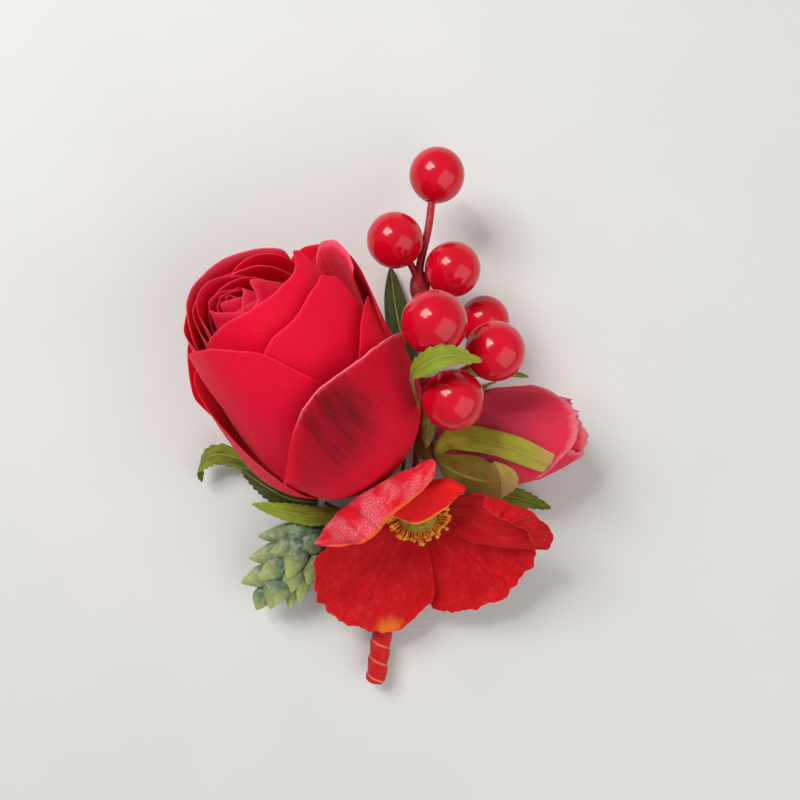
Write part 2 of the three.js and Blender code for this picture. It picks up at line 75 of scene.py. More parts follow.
# %% Camera
CAMERA_HEIGHT = 206.0
camera_data = bpy.data.cameras.new("camera")
camera_data.sensor_width = 36.0
camera_data.lens = 38.97
camera_data.clip_start = 0.01
camera = bpy.data.objects.new("camera", camera_data)
camera.location = placed((0.0, 0.0, CAMERA_HEIGHT))
bpy.context.scene.collection.objects.link(camera)
bpy.context.scene.camera = camera
print("camera at", [round(value, 4) for value in camera.location])

# %% [markdown]
# ## Light
# A broad softbox at the upper left shapes the petals, a weaker one at the lower right opens the
# shadows, and a small bright one leaves the clear highlight on each bead. Strong reds lose their
# colour in a filmic view, so the view transform is the plain one.


# %% Lights, world and floor
def softbox(name, place, aim, size, power):
    data = bpy.data.lights.new(name, "AREA")
    data.shape = "SQUARE"
    data.size = size
    data.energy = power
    light = bpy.data.objects.new(name, data)
    light.location = placed(place)
    direction = placed(aim) - light.location
    light.rotation_euler = direction.to_track_quat("-Z", "Y").to_euler()
    bpy.context.scene.collection.objects.link(light)


softbox("key", (-260.0, 260.0, 420.0), (0.0, 0.0, 20.0), 0.24, 2.2)
softbox("fill", (320.0, -200.0, 360.0), (0.0, 0.0, 20.0), 0.60, 1.7)
softbox("sparkle", (-120.0, 210.0, 420.0), (0.0, 20.0, 20.0), 0.05, 0.28)

world = bpy.data.worlds.new("studio")
bpy.context.scene.world = world
world.use_nodes = True
sky = world.node_tree.nodes["Background"]
sky.inputs["Color"].default_value = (1.0, 1.0, 1.0, 1.0)
sky.inputs["Strength"].default_value = 0.30
bpy.context.scene.view_settings.view_transform = "Standard"

floor_mesh = bpy.data.meshes.new("floor")
floor_bm = bmesh.new()
bmesh.ops.create_grid(floor_bm, x_segments=1, y_segments=1, size=1.5)
floor_bm.to_mesh(floor_mesh)
floor_bm.free()
floor = bpy.data.objects.new("floor", floor_mesh)
bpy.context.scene.collection.objects.link(floor)
print("lights", [light.name for light in bpy.data.lights])

# %% [markdown]
# ## Materials
# Every finish is procedural. Three effects come back in many of them, so each is a node group:
# the weave of the cloth, streaks that run along a petal, and a band along its rim that frays.


# %% Helpers for materials
def linear(red, green, blue):
    """An everyday 0-255 colour as the linear colour that shaders use."""
    def channel(value):
        value /= 255.0
        return value / 12.92 if value <= 0.04045 else ((value + 0.055) / 1.055) ** 2.4
    return (channel(red), channel(green), channel(blue), 1.0)


def new_group(name, inputs, outputs):
    tree = bpy.data.node_groups.new(name, "ShaderNodeTree")
    for label, kind, value in inputs:
        socket = tree.interface.new_socket(name=label, in_out="INPUT", socket_type=kind)
        if value is not None:
            socket.default_value = value
    for label, kind in outputs:
        tree.interface.new_socket(name=label, in_out="OUTPUT", socket_type=kind)
    return tree, tree.nodes.new("NodeGroupInput"), tree.nodes.new("NodeGroupOutput")


def math_node(tree, operation, first, second=None, clamp=False):
    node = tree.nodes.new("ShaderNodeMath")
    node.operation = operation
    node.use_clamp = clamp
    for socket, value in zip(node.inputs, (first, second)):
        if value is None:
            continue
        if isinstance(value, (int, float)):
            socket.default_value = value
        else:
            tree.links.new(value, socket)
    return node.outputs[0]


def remap(tree, value, low, high):
    """0 below low, 1 above high, and a smooth step between."""
    node = tree.nodes.new("ShaderNodeMapRange")
    node.interpolation_type = "SMOOTHSTEP"
    for name, given in (("Value", value), ("From Min", low), ("From Max", high)):
        if isinstance(given, (int, float)):
            node.inputs[name].default_value = given
        else:
            tree.links.new(given, node.inputs[name])
    return node.outputs["Result"]


def mixed(tree, amount, first, second):
    node = tree.nodes.new("ShaderNodeMix")
    node.data_type = "RGBA"
    for socket, value in ((node.inputs[0], amount), (node.inputs[6], first), (node.inputs[7], second)):
        if isinstance(value, (int, float, tuple)):
            socket.default_value = value
        else:
            tree.links.new(value, socket)
    return node.outputs[2]


def noise_node(tree, vector, scale, detail=3.0, roughness=0.55, distortion=0.0):
    node = tree.nodes.new("ShaderNodeTexNoise")
    tree.links.new(vector, node.inputs["Vector"])
    node.inputs["Scale"].default_value = scale
    node.inputs["Detail"].default_value = detail
    node.inputs["Roughness"].default_value = roughness
    node.inputs["Distortion"].default_value = distortion
    return node.outputs["Fac"]


def stretched(tree, vector, scale, turn=0.0):
    """The same place with finer or coarser axes, turned first by an angle about Z."""
    if turn:
        vector = turned_about_z(tree, vector, turn)
    node = tree.nodes.new("ShaderNodeMapping")
    tree.links.new(vector, node.inputs["Vector"])
    node.inputs["Scale"].default_value = scale
    return node.outputs["Vector"]


def turned_about_z(tree, vector, turn):
    node = tree.nodes.new("ShaderNodeMapping")
    tree.links.new(vector, node.inputs["Vector"])
    node.inputs["Rotation"].default_value = (0.0, 0.0, turn)
    return node.outputs["Vector"]


def sides_of(tree, vector):
    """The X and Y of a place: on a sheet, across it and up it."""
    node = tree.nodes.new("ShaderNodeSeparateXYZ")
    tree.links.new(vector, node.inputs[0])
    return node.outputs["X"], node.outputs["Y"]


def from_spot(tree, across, up, spot):
    """How far a place is from an oval spot's middle, 1 at the spot's edge."""
    centre_u, centre_v, wide, tall = spot
    squares = []
    for place, centre, size in ((across, centre_u, wide), (up, centre_v, tall)):
        share = math_node(tree, "DIVIDE", math_node(tree, "SUBTRACT", place, centre), size)
        squares.append(math_node(tree, "MULTIPLY", share, share))
    return math_node(tree, "SQRT", math_node(tree, "ADD", *squares))


def finish(name, roughness, **settings):
    """A new material, its tree and its Principled BSDF, with plain values set on the shader."""
    material = bpy.data.materials.new(name)
    material.use_nodes = True
    shader = material.node_tree.nodes["Principled BSDF"]
    shader.inputs["Roughness"].default_value = roughness
    for label, value in settings.items():
        shader.inputs[label.replace("_", " ")].default_value = value
    return material, material.node_tree, shader


def bump(tree, shader, height, strength, distance):
    node = tree.nodes.new("ShaderNodeBump")
    node.inputs["Strength"].default_value = strength
    node.inputs["Distance"].default_value = distance
    tree.links.new(height, node.inputs["Height"])
    tree.links.new(node.outputs["Normal"], shader.inputs["Normal"])


def use_group(tree, group, **links):
    node = tree.nodes.new("ShaderNodeGroup")
    node.node_tree = group
    for label, value in links.items():
        socket = node.inputs[label.replace("_", " ")]
        if isinstance(value, (int, float)):
            socket.default_value = value
        else:
            tree.links.new(value, socket)
    return node


def object_place(tree):
    return tree.nodes.new("ShaderNodeTexCoord").outputs["Object"]


def sheet_place(tree):
    node = tree.nodes.new("ShaderNodeUVMap")
    node.uv_map = "sheet"
    return node.outputs["UV"]


# %% Shared effects as node groups
# The weave is two crossed sets of threads about a third of a millimetre apart.
weave_group, weave_in, weave_out = new_group(
    "Woven cloth", [("Vector", "NodeSocketVector", None), ("Threads", "NodeSocketFloat", 90.0)],
    [("Height", "NodeSocketFloat")])
threads = []
for side in sides_of(weave_group, weave_in.outputs["Vector"]):
    phase = math_node(weave_group, "MULTIPLY", side, weave_in.outputs["Threads"])
    phase = math_node(weave_group, "MULTIPLY", phase, 2 * math.pi)
    threads.append(math_node(weave_group, "SINE", phase))
total = math_node(weave_group, "MULTIPLY", threads[0], threads[1])
slub_place = stretched(weave_group, weave_in.outputs["Vector"], (9.0, 60.0, 1.0))
slub = noise_node(weave_group, slub_place, 1.0)
height = math_node(weave_group, "ADD", math_node(weave_group, "MULTIPLY", total, 0.5), slub)
weave_group.links.new(height, weave_out.inputs["Height"])

# Streaks follow a petal from foot to rim, as dye and pressing leave them.
streak_group, streak_in, streak_out = new_group(
    "Dye streaks", [("Vector", "NodeSocketVector", None), ("Low", "NodeSocketFloat", 0.4),
                    ("High", "NodeSocketFloat", 0.7)], [("Mask", "NodeSocketFloat")])
lengthways = stretched(streak_group, streak_in.outputs["Vector"], (26.0, 2.2, 1.0))
fine = noise_node(streak_group, lengthways, 1.0, 4.0, 0.6, 0.4)
streak_group.links.new(
    remap(streak_group, fine, streak_in.outputs["Low"], streak_in.outputs["High"]),
    streak_out.inputs["Mask"])

# The rim band is widest where the cloth has frayed.
rim_group, rim_in, rim_out = new_group(
    "Frayed rim", [("Vector", "NodeSocketVector", None), ("Width", "NodeSocketFloat", 0.03),
                   ("Fray", "NodeSocketFloat", 0.03)], [("Mask", "NodeSocketFloat")])
frayed_place = stretched(rim_group, rim_in.outputs["Vector"], (40.0, 6.0, 1.0))
frays = noise_node(rim_group, frayed_place, 1.0, 5.0, 0.7)
reach = math_node(rim_group, "ADD", rim_in.outputs["Width"],
                  math_node(rim_group, "MULTIPLY", frays, rim_in.outputs["Fray"]))
from_rim = math_node(rim_group, "SUBTRACT", 1.0, sides_of(rim_group, rim_in.outputs["Vector"])[1])
inside = math_node(rim_group, "DIVIDE", from_rim, reach)
rim_group.links.new(math_node(rim_group, "SUBTRACT", 1.0, remap(rim_group, inside, 0.2, 1.0)),
                    rim_out.inputs["Mask"])
print("node groups", [group.name for group in bpy.data.node_groups])

# %% [markdown]
# Petal cloth is matt with a little sheen. It carries faint dye streaks, pales along the rim and can take
# another tint towards the foot: on the poppy the cloth's own orange, on the bud a paler dusty pink that is a
# painted highlight, where light from the upper left falls on the petal feet. Specks of painted highlight
# mark the poppy's crinkled petals. The same recipe serves rose, bud and poppy with other colours.


# %% Petal cloth
def petal_cloth(name, bright, deep, rim, rim_width, fray, streak, foot=None, smudge=None,
                relief=0.00012, roughness=0.72, painted_highlights=None, patch=None, rim_from=None):
    material, tree, shader = finish(name, roughness, Sheen_Weight=0.04, Sheen_Roughness=0.4,
                                    Specular_IOR_Level=0.12, Subsurface_Weight=0.22,
                                    Subsurface_Radius=(1.0, 0.1, 0.15), Subsurface_Scale=0.003)
    place = sheet_place(tree)
    across, up = sides_of(tree, place)
    cloud = noise_node(tree, stretched(tree, place, (5.0, 4.0, 1.0)), 1.0, 3.0)
    streaks = use_group(tree, streak_group, Vector=place, Low=0.42, High=0.72).outputs["Mask"]
    tone = math_node(tree, "ADD", math_node(tree, "MULTIPLY", cloud, 0.5),
                      math_node(tree, "MULTIPLY", streaks, streak))
    colour = mixed(tree, remap(tree, tone, 0.2, 0.85), bright, deep)
    # foot is (low, high, tint), up the petal: a tint towards the foot, the cloth's own orange on the poppy
    # and a painted highlight on the bud; smudge and patch are (spot, tint, strength), with the spot's middle
    # and half sizes; the specks of painted highlight are (where they start, how fine, tint, strength).
    if foot:
        low, high, tint = foot
        colour = mixed(tree, remap(tree, math_node(tree, "ADD", up, math_node(
            tree, "MULTIPLY", math_node(tree, "SUBTRACT", cloud, 0.5), 0.25)), high, low), colour, tint)
    if smudge:
        spot, tint, strength = smudge
        slanted = stretched(tree, place, (19.0, 3.0, 1.0), turn=-0.2)
        scratches = noise_node(tree, slanted, 1.0, 5.0, 0.62, 0.3)
        blot = math_node(tree, "SUBTRACT", 1.0, remap(tree, math_node(
            tree, "ADD", from_spot(tree, across, up, spot),
            math_node(tree, "MULTIPLY", scratches, 0.5)), 0.55, 1.45))
        lines = remap(tree, scratches, 0.28, 0.62)
        amount = math_node(tree, "MULTIPLY", blot, math_node(
            tree, "SUBTRACT", strength, math_node(tree, "MULTIPLY", lines, 0.45)), clamp=True)
        colour = mixed(tree, amount, colour, tint)
    if patch:
        spot, tint, strength = patch
        ragged = noise_node(tree, stretched(tree, place, (30.0, 7.0, 1.0)), 1.0, 4.0, 0.6)
        amount = math_node(tree, "SUBTRACT", 1.0, remap(tree, math_node(
            tree, "ADD", from_spot(tree, across, up, spot),
            math_node(tree, "MULTIPLY", ragged, 0.8)), 0.6, 1.5))
        colour = mixed(tree, math_node(tree, "MULTIPLY", amount, strength), colour, tint)
    # Specks of painted highlight: paler flecks in soft clouds, where light catches the crinkled cloth.
    if painted_highlights:
        start, fine_scale, tint, strength = painted_highlights
        fine_place = stretched(tree, place, (fine_scale, fine_scale * 0.5, 1.0))
        highlight_specks = noise_node(tree, fine_place, 1.0, 6.0, 0.8)
        cloudy = noise_node(tree, stretched(tree, place, (7.0, 5.0, 1.0)), 1.0, 2.0)
        amount = math_node(tree, "MULTIPLY", remap(tree, highlight_specks, 0.44, 0.66),
                           remap(tree, cloudy, 0.38, 0.62))
        amount = math_node(tree, "MULTIPLY", amount, remap(tree, up, start, start + 0.12))
        colour = mixed(tree, math_node(tree, "MULTIPLY", amount, strength), colour, tint)
    edge = use_group(tree, rim_group, Vector=place, Width=rim_width, Fray=fray).outputs["Mask"]
    if rim_from:
        edge = math_node(tree, "MULTIPLY", edge, remap(tree, across, rim_from, rim_from + 0.12))
    colour = mixed(tree, edge, colour, rim)
    tree.links.new(colour, shader.inputs["Base Color"])
    tree.links.new(math_node(tree, "ADD", roughness - 0.06, math_node(
        tree, "MULTIPLY", cloud, 0.12)), shader.inputs["Roughness"])
    weave = use_group(tree, weave_group, Vector=place, Threads=90.0).outputs["Height"]
    creases = noise_node(tree, stretched(tree, place, (34.0, 3.5, 1.0)), 1.0, 5.0, 0.65, 0.5)
    relief_height = math_node(tree, "ADD", math_node(tree, "MULTIPLY", weave, 0.25), creases)
    bump(tree, shader, relief_height, 0.7, relief)
    return material


ROSE_BRIGHT = linear(236, 10, 52)
ROSE_DEEP = linear(216, 6, 42)
rose_cloth = petal_cloth("rose cloth", ROSE_BRIGHT, ROSE_DEEP, linear(238, 30, 64), 0.004, 0.008, 0.12)
rose_marked = petal_cloth(
    "rose cloth, marked", linear(224, 12, 46), linear(200, 8, 36), linear(238, 112, 132), 0.02, 0.05,
    0.2, smudge=((0.31, 0.84, 0.25, 0.18), linear(112, 10, 22), 1.0), relief=0.0002, rim_from=0.15)
rose_inner = petal_cloth("rose cloth, inner", linear(226, 12, 54), linear(206, 8, 44),
                         linear(230, 44, 74), 0.010, 0.02, 0.15)
rose_lip = petal_cloth("rose cloth, lip", linear(228, 28, 62), linear(200, 14, 42),
                       linear(240, 84, 110), 0.010, 0.03, 0.2)
# The bud's foot tint, a paler dusty pink, is a painted highlight: the petal feet lie on the bud's left,
# towards the light at the upper left.
bud_cloth = petal_cloth("bud cloth", linear(230, 46, 72), linear(214, 32, 58), linear(228, 112, 124),
                        0.014, 0.06, 0.18, foot=(0.45, 1.0, linear(186, 58, 82)), roughness=0.75)
# The poppy's cloth: its own red with an orange rim and foot, plus specks of paler pink that are painted
# highlights on the crinkles.
POPPY_DYE_AND_HIGHLIGHTS = dict(bright=linear(202, 12, 22), deep=linear(166, 8, 16), rim=linear(230, 62, 34),
                 rim_width=0.008, fray=0.02, streak=0.4, foot=(0.0, 0.22, linear(190, 50, 20)),
                 painted_highlights=(0.1, 26.0, linear(232, 64, 70), 0.4), relief=0.0003)
poppy_cloth = petal_cloth("poppy cloth", **POPPY_DYE_AND_HIGHLIGHTS)
poppy_blotched = petal_cloth("poppy cloth, blotched", **POPPY_DYE_AND_HIGHLIGHTS,
                             patch=((0.68, 0.98, 0.12, 0.2), linear(232, 118, 34), 0.85))
# The upper left petal shows its back, covered in a pale speckle that is painted sheen, light caught on the
# weave.
poppy_painted_sheen = petal_cloth(
    "poppy cloth, painted sheen", linear(232, 26, 44), linear(206, 12, 32), linear(236, 96, 40), 0.03, 0.05,
    0.2, painted_highlights=(0.3, 150.0, linear(250, 180, 196), 0.9), relief=0.0003)
# The tongue's brighter red is painted light for its lit, glossy inner face; its orange-gold rim is the
# cloth's own edge.
poppy_lit_tongue = petal_cloth("poppy cloth, smooth, painted light", linear(236, 24, 28), linear(214, 14, 24),
                           linear(240, 150, 44), 0.03, 0.02, 0.1, relief=0.0001)
print("petal cloths", [cloth.name for cloth in bpy.data.materials])

# %% [markdown]
# The leaves are printed cloth: yellow-green with a darker cloud here and there, a pale midrib with
# side veins, and brown where the edge has been singed. Sepals share the recipe with browner tints.


# %% Leaf cloth
VEIN = linear(170, 176, 70)


def leaf_cloth(name, fresh, dark, tip, tip_start):
    material, tree, shader = finish(name, 0.62, Sheen_Weight=0.1, Specular_IOR_Level=0.3)
    place = sheet_place(tree)
    across, up = sides_of(tree, place)
    cloud = noise_node(tree, stretched(tree, place, (3.0, 5.0, 1.0)), 1.0, 4.0)
    colour = mixed(tree, remap(tree, cloud, 0.35, 0.7), fresh, dark)
    off_rib = math_node(tree, "ABSOLUTE", math_node(tree, "SUBTRACT", across, 0.5))
    rib = math_node(tree, "SUBTRACT", 1.0, remap(tree, off_rib, 0.01, 0.045))
    slant = math_node(tree, "SUBTRACT", math_node(tree, "MULTIPLY", up, 9.0),
                      math_node(tree, "MULTIPLY", off_rib, 5.0))
    wave = math_node(tree, "SINE", math_node(tree, "MULTIPLY", slant, math.pi))
    ribs = math_node(tree, "ABSOLUTE", wave)
    veins = math_node(tree, "SUBTRACT", 1.0, remap(tree, ribs, 0.02, 0.2))
    lines = math_node(tree, "MAXIMUM", rib, math_node(tree, "MULTIPLY", veins, 0.35))
    colour = mixed(tree, math_node(tree, "MULTIPLY", lines, 0.55), colour, VEIN)
    browned = remap(tree, math_node(tree, "ADD", up, math_node(
        tree, "MULTIPLY", math_node(tree, "SUBTRACT", cloud, 0.5), 0.4)), tip_start, tip_start + 0.25)
    colour = mixed(tree, browned, colour, tip)
    tree.links.new(colour, shader.inputs["Base Color"])
    weave = use_group(tree, weave_group, Vector=place, Threads=60.0).outputs["Height"]
    raised = math_node(tree, "ADD", math_node(tree, "MULTIPLY", weave, 0.2), lines)
    bump(tree, shader, raised, 0.6, 0.00015)
    return material


LEAF_TINTS = {
    "leaf, bright": (linear(134, 146, 26), linear(104, 120, 20), linear(150, 150, 40), 0.8),
    "leaf, mid": (linear(118, 130, 30), linear(76, 88, 20), linear(136, 140, 44), 0.85),
    "leaf, dark": (linear(62, 72, 20), linear(34, 40, 12), linear(90, 92, 30), 0.9),
    "leaf, olive": (linear(116, 104, 28), linear(74, 66, 18), linear(140, 116, 44), 0.6),
    "sepal, green": (linear(164, 158, 42), linear(144, 134, 34), linear(190, 150, 84), 0.82),
    "sepal, olive": (linear(132, 116, 30), linear(120, 92, 22), linear(140, 112, 36), 0.7),
    "sepal, tan": (linear(176, 148, 72), linear(156, 124, 50), linear(186, 146, 80), 0.3),
}
leaf_cloths = {name: leaf_cloth(name, *tints) for name, tints in LEAF_TINTS.items()}
print("leaf cloths", list(leaf_cloths))

# %% [markdown]
# ## From a flat grid to a petal
# A petal is one sheet. A grid is the natural start, because its two directions become "across" and
# "up" the petal, and stay as its UV map for the dye and the weave. A function bends the grid, small
# relief is pushed along the normals, and Solidify gives the cloth its quarter of a millimetre.

# %% Sheet helpers
CLOTH = 0.0002
WELD = 1e-5


def smooth(value, low, high):
    share = min(1.0, max(0.0, (value - low) / (high - low)))
    return share * share * (3.0 - 2.0 * share)


def spline(points, share):
    """A smooth curve through evenly spaced values or vectors, for share from 0 to 1."""
    last = len(points) - 1
    place = min(max(share, 0.0), 1.0) * last
    index = min(int(place), last - 1)
    t = place - index
    b, c = points[index], points[index + 1]
    a = points[index - 1] if index > 0 else b + (b - c)
    d = points[index + 2] if index + 2 <= last else c + (c - b)
    return ((2.0 * b) + (c - a) * t + (2.0 * a - 5.0 * b + 4.0 * c - d) * t ** 2
            + (3.0 * b - 3.0 * c + d - a) * t ** 3) * 0.5


def ripple(across, up, seed, fine=1.0):
    """Smooth noise from -1 to 1 over a petal."""
    return noise.noise(Vector((across * fine, up * fine, seed * 7.3)))


def new_bm():
    bm = bmesh.new()
    bm.loops.layers.uv.new("sheet")
    return bm


def grid(bm, across, up, shape):
    """Add a grid and move each point to shape(s, t), s and t from 0 to 1."""
    layer = bm.loops.layers.uv["sheet"]
    verts = bmesh.ops.create_grid(bm, x_segments=across, y_segments=up, size=0.5)["verts"]
    for face in {face for vert in verts for face in vert.link_faces}:
        for loop in face.loops:
            loop[layer].uv = (loop.vert.co.x + 0.5, loop.vert.co.y + 0.5)
    for vert in verts:
        vert.co = shape(vert.co.x + 0.5, vert.co.y + 0.5)
    return verts


def rolled(bm, around, along, shape):
    """A grid whose sides meet, so that it closes round. Rows that shrink to a point become one."""
    verts = grid(bm, around, along, shape)
    bmesh.ops.remove_doubles(bm, verts=verts, dist=WELD)


def add_piece(bm, name, nodes, slot, material, place=None, thin=False):
    """Move a mesh from layout millimetres to the model, give it its finish, link it under the root body and
    hide the solids it replaces.
    """
    for vert in bm.verts:
        vert.co = placed(place @ vert.co if place else vert.co)
    for face in bm.faces:
        face.smooth = True
    bmesh.ops.recalc_face_normals(bm, faces=bm.faces)
    mesh = bpy.data.meshes.new(name)
    bm.to_mesh(mesh)
    bm.free()
    mesh.materials.append(material)
    piece = bpy.data.objects.new(name, mesh)
    bpy.context.scene.collection.objects.link(piece)
    if thin:
        shell = piece.modifiers.new("thickness", "SOLIDIFY")
        shell.thickness = CLOTH
        shell.offset = 0.0
        rounding = piece.modifiers.new("rounding", "SUBSURF")
        rounding.levels = 1
        rounding.render_levels = 1
    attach(piece, "root")
    if nodes:
        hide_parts(*nodes)
    return piece


def sheet(name, nodes, slot, material, surface, across, up, relief=None, place=None):
    """A thin cloth piece bent over surface(u, v), u from -1 to 1 and v from 0 to 1, in mm."""
    bm = new_bm()
    flat = []

    def bent(s, t):
        flat.append((2.0 * s - 1.0, t))
        return surface(2.0 * s - 1.0, t)

    verts = grid(bm, across, up, bent)
    if relief:
        bm.normal_update()
        pushed = [vert.co + vert.normal * relief(u, v) for vert, (u, v) in zip(verts, flat)]
        for vert, spot in zip(verts, pushed):
            vert.co = spot
    return add_piece(bm, name, nodes, slot, material, place, thin=True)


# %% [markdown]
# ## The rose
# The petals of a silk rose are nested cups. Each follows a bowl up to the widest height and a wall
# that closes in above it. A petal has its own place round the cup, its own rim heights from left to
# right, and a rim that rolls outwards. Petal sides are pressed on to the petal inside them.

# %% Cup petals


def flower_place(base, heading, elevation):
    turn, rise = math.radians(heading), math.radians(elevation)
    axis = Vector((math.cos(rise) * math.cos(turn), math.cos(rise) * math.sin(turn), math.sin(rise)))
    right = Vector((math.sin(turn), -math.cos(turn), 0.0))
    up = right.cross(axis)
    return Matrix.Translation(base) @ Matrix((up, right, axis)).transposed().to_4x4()


# A petal is told by these words, with angles in degrees and lengths in millimetres:
# layer, how many petals lie outside it; middle and half, its place round the cup and half its width;
# rim, its heights from left to right; neck, how wide its foot is; tuck and lean, how the wall closes
# in and leans; flare and open, how its rim and its right side stand out; flick, how far its left
# corner sweeps on; roll and roll_length, how its rim curls; round, how round its corners are; peaks,
# points of (place, rise, width); wave, waves and fray, its ripples; press, how flat its sides lie.
def cup_petal(cup, petal):
    """The surface of one nested petal, in the flower's own millimetres."""
    inset = petal["layer"] * cup["layer"]
    wide, height_at = cup["wide"] - inset, cup["wide_at"]
    tuck, lean = petal.get("tuck", cup["tuck"]), petal.get("lean", 0.0)
    bowl = height_at - inset
    foot = height_at - bowl * math.sqrt(1.0 - (cup["foot"] / wide) ** 2)
    rim, half = petal["rim"], petal["half"]
    roll, roll_length = math.radians(petal.get("roll", 12.0)), petal.get("roll_length", 2.2)
    wave, waves, seed = petal.get("wave", 0.25), petal.get("waves", 2.5), petal["seed"]
    fray, press, neck = petal.get("fray", 0.12), petal.get("press", 0.6), petal.get("neck", 0.5)

    def surface(u, v):
        top = spline(rim, (u + 1.0) / 2.0) + petal.get("round", 1.2) * (0.35 - abs(u) ** 5)
        for at, rise, wide_u in petal.get("peaks", ()):
            top += rise * math.exp(-abs(u - at) / wide_u)
        top += fray * smooth(v, 0.9, 1.0) * ripple(u * half, 0.0, seed, 0.9)
        height = foot + (top - foot) * v ** 2
        below = max(0.0, height_at - height) / bowl
        above = max(0.0, height - height_at) / (cup["height"] - height_at)
        radius = wide * math.sqrt(max(0.0, 1.0 - min(1.0, below) ** 2)) - tuck * above ** 2
        spread = half * (neck + (1.0 - neck) * smooth(v, 0.0, 0.6))
        corner = petal.get("flick", 0.0) * max(0.0, -u) ** 3 * smooth(v, 0.8, 1.0)
        turn = math.radians(petal["middle"] + u * spread - corner)
        out = petal.get("flare", 0.3) * smooth(v, 0.72, 1.0) ** 2
        out += wave * smooth(v, 0.45, 1.0) * ripple(u * waves, v * 1.2, seed)
        out -= press * abs(u) ** 6 * (1.0 - smooth(v, 0.86, 1.0))
        out += petal.get("open", 0.0) * max(0.0, u) ** 2 * smooth(v, 0.6, 1.0)
        start = top - roll_length
        if height > start and roll > 0.0:
            bend = roll * (height - start) / roll_length
            curl = roll_length / roll
            height = start + curl * math.sin(bend)
            out += curl * (1.0 - math.cos(bend))
        reach = radius + out
        return Vector((reach * math.cos(turn), reach * math.sin(turn) - lean * above ** 2, height))

    return surface


ROSE = {"wide": 20.8, "wide_at": 21.0, "height": 52.0, "tuck": 3.4, "layer": 1.2, "foot": 3.4}
rose_place = flower_place((-8.6, -14.5, 7.4), 118.5, 41.0)
ROSE_PETALS = {
    "front_right": dict(layer=0, middle=28, half=66, neck=0.85, rim=[24, 40.8, 42.2, 37.5, 27],
                        roll=105, roll_length=3.6, wave=0.3, cloth=rose_marked, fray=0.5, press=0.9),
    "low_left": dict(layer=0, middle=-97, half=54, rim=[26, 37, 40, 38, 22]),
    "under": dict(layer=-1, middle=-145, half=46, rim=[28, 40, 43, 42, 36], flare=1.4,
                  roll=20, wave=0.4),
    "back_right": dict(layer=0, middle=138, half=31, rim=[38, 46, 47, 45, 40], roll=25, tuck=1.6),
    "right_low": dict(layer=0.8, middle=69, half=36, rim=[38, 42, 42.5, 40, 33], flare=0, roll=20,
                      wave=0.1, press=0.2),
    "front_left": dict(layer=1.1, middle=-25, half=36, flick=24, rim=[50, 53, 52.4, 49.5, 41],
                       tuck=4.4, lean=1, flare=0.1, roll=14, wave=0.5, waves=3),
    "right": dict(layer=1.2, middle=108, half=40, rim=[41, 47, 48, 47, 42], tuck=0.8,
                  flare=0.9, roll=8),
    "left": dict(layer=2, middle=-98, half=48, rim=[46, 51.5, 52, 51.5, 47], flare=0.1),
    "front_middle": dict(layer=2.4, middle=26, half=50, rim=[46, 50.6, 51.4, 52.2, 49.4], tuck=4.4,
                         lean=1, flare=0, round=0.5, peaks=[(0.8, 2.4, 0.14)], wave=0.3, waves=3,
                         open=2.2),
    "curled": dict(layer=2.4, middle=112, half=29, rim=[50, 51.5, 51, 49, 44], tuck=1.4,
                   flare=0.9, roll=70, roll_length=3, wave=0.5, waves=5, fray=0.7, cloth=rose_lip),
    "lip": dict(layer=3, middle=-148, half=68, rim=[52, 54, 55, 54.5, 50], wave=0.35,
                waves=3.5, cloth=rose_lip),
    "front_inner": dict(layer=4, middle=6, half=80, rim=[50, 55, 56, 55.4, 55.6], tuck=4.6,
                        lean=1, flare=0, round=0.3, peaks=[(0.9, 2.8, 0.12), (0.45, 0.7, 0.2)],
                        wave=0.25, waves=4, open=2.6),
    "back": dict(layer=4, middle=148, half=46, rim=[48, 53, 54, 53.5, 52], tuck=4.9, lean=1.5,
                 flare=0.3),
    "lip_inner": dict(layer=5, middle=-130, half=66, rim=[52.6, 55.2, 55.8, 55.2, 53.4], tuck=6.6,
                      lean=3, flare=0.3, wave=0.3, cloth=rose_inner),
    "tip": dict(layer=5.2, middle=36, half=62, rim=[51, 53, 54, 56.5, 52], tuck=7, lean=3.2, flare=0,
                wave=0.3, cloth=rose_inner),
    "swirl_outer": dict(layer=6.4, middle=-80, half=115, rim=[52, 54, 54.5, 54, 52.5], tuck=7.6,
                        lean=3.8, flare=0, wave=0.3, waves=5, cloth=rose_inner),
    "swirl_middle": dict(layer=7.6, middle=90, half=115, rim=[51, 53.4, 54, 53.4, 51], tuck=7.6,
                         lean=4.2, flare=0, wave=0.3, waves=5, cloth=rose_inner),
}
# More strips fill the folds of the heart. They are too small to be solids of their own.
HEART = {
    "fold_left": dict(layer=4, middle=-135, half=70, rim=[51, 53, 54, 53.6, 51], tuck=5.6, lean=2.2),
    "fold_back": dict(layer=4.7, middle=160, half=70, rim=[49, 52, 53, 52.5, 50], tuck=5.8, lean=2.3),
    "fold_outer": dict(layer=5.8, middle=170, half=110, rim=[50, 52.5, 53.4, 52.8, 50], tuck=7.2,
                       lean=3.5),
    "fold_middle": dict(layer=7, middle=-20, half=120, rim=[50, 52.4, 53.2, 52.8, 51], tuck=7.6,
                        lean=4),
    "fold_inner": dict(layer=8.1, middle=200, half=130, rim=[50, 52.6, 53.6, 53, 51], tuck=7.6,
                       lean=4.2, wave=0.4, waves=6),
    "heart_outer": dict(layer=8.7, middle=-30, half=150, rim=[49, 53, 54.5, 54, 52], tuck=7.6,
                        lean=4.2, wave=0.35, waves=6),
    "heart_inner": dict(layer=9.7, middle=140, half=150, rim=[50, 53.5, 54, 54, 52], tuck=7.6,
                        lean=4.2, roll=20, wave=0.3, waves=6),
}
for petal in HEART.values():
    petal.update(flare=0, cloth=rose_inner)

# %% [markdown]
# Thirty-odd rows up each petal are enough for the roll of its rim. The grid gets wider with the
# petal, so that its cells stay nearly square, and a fine ripple keeps the cloth from looking moulded.

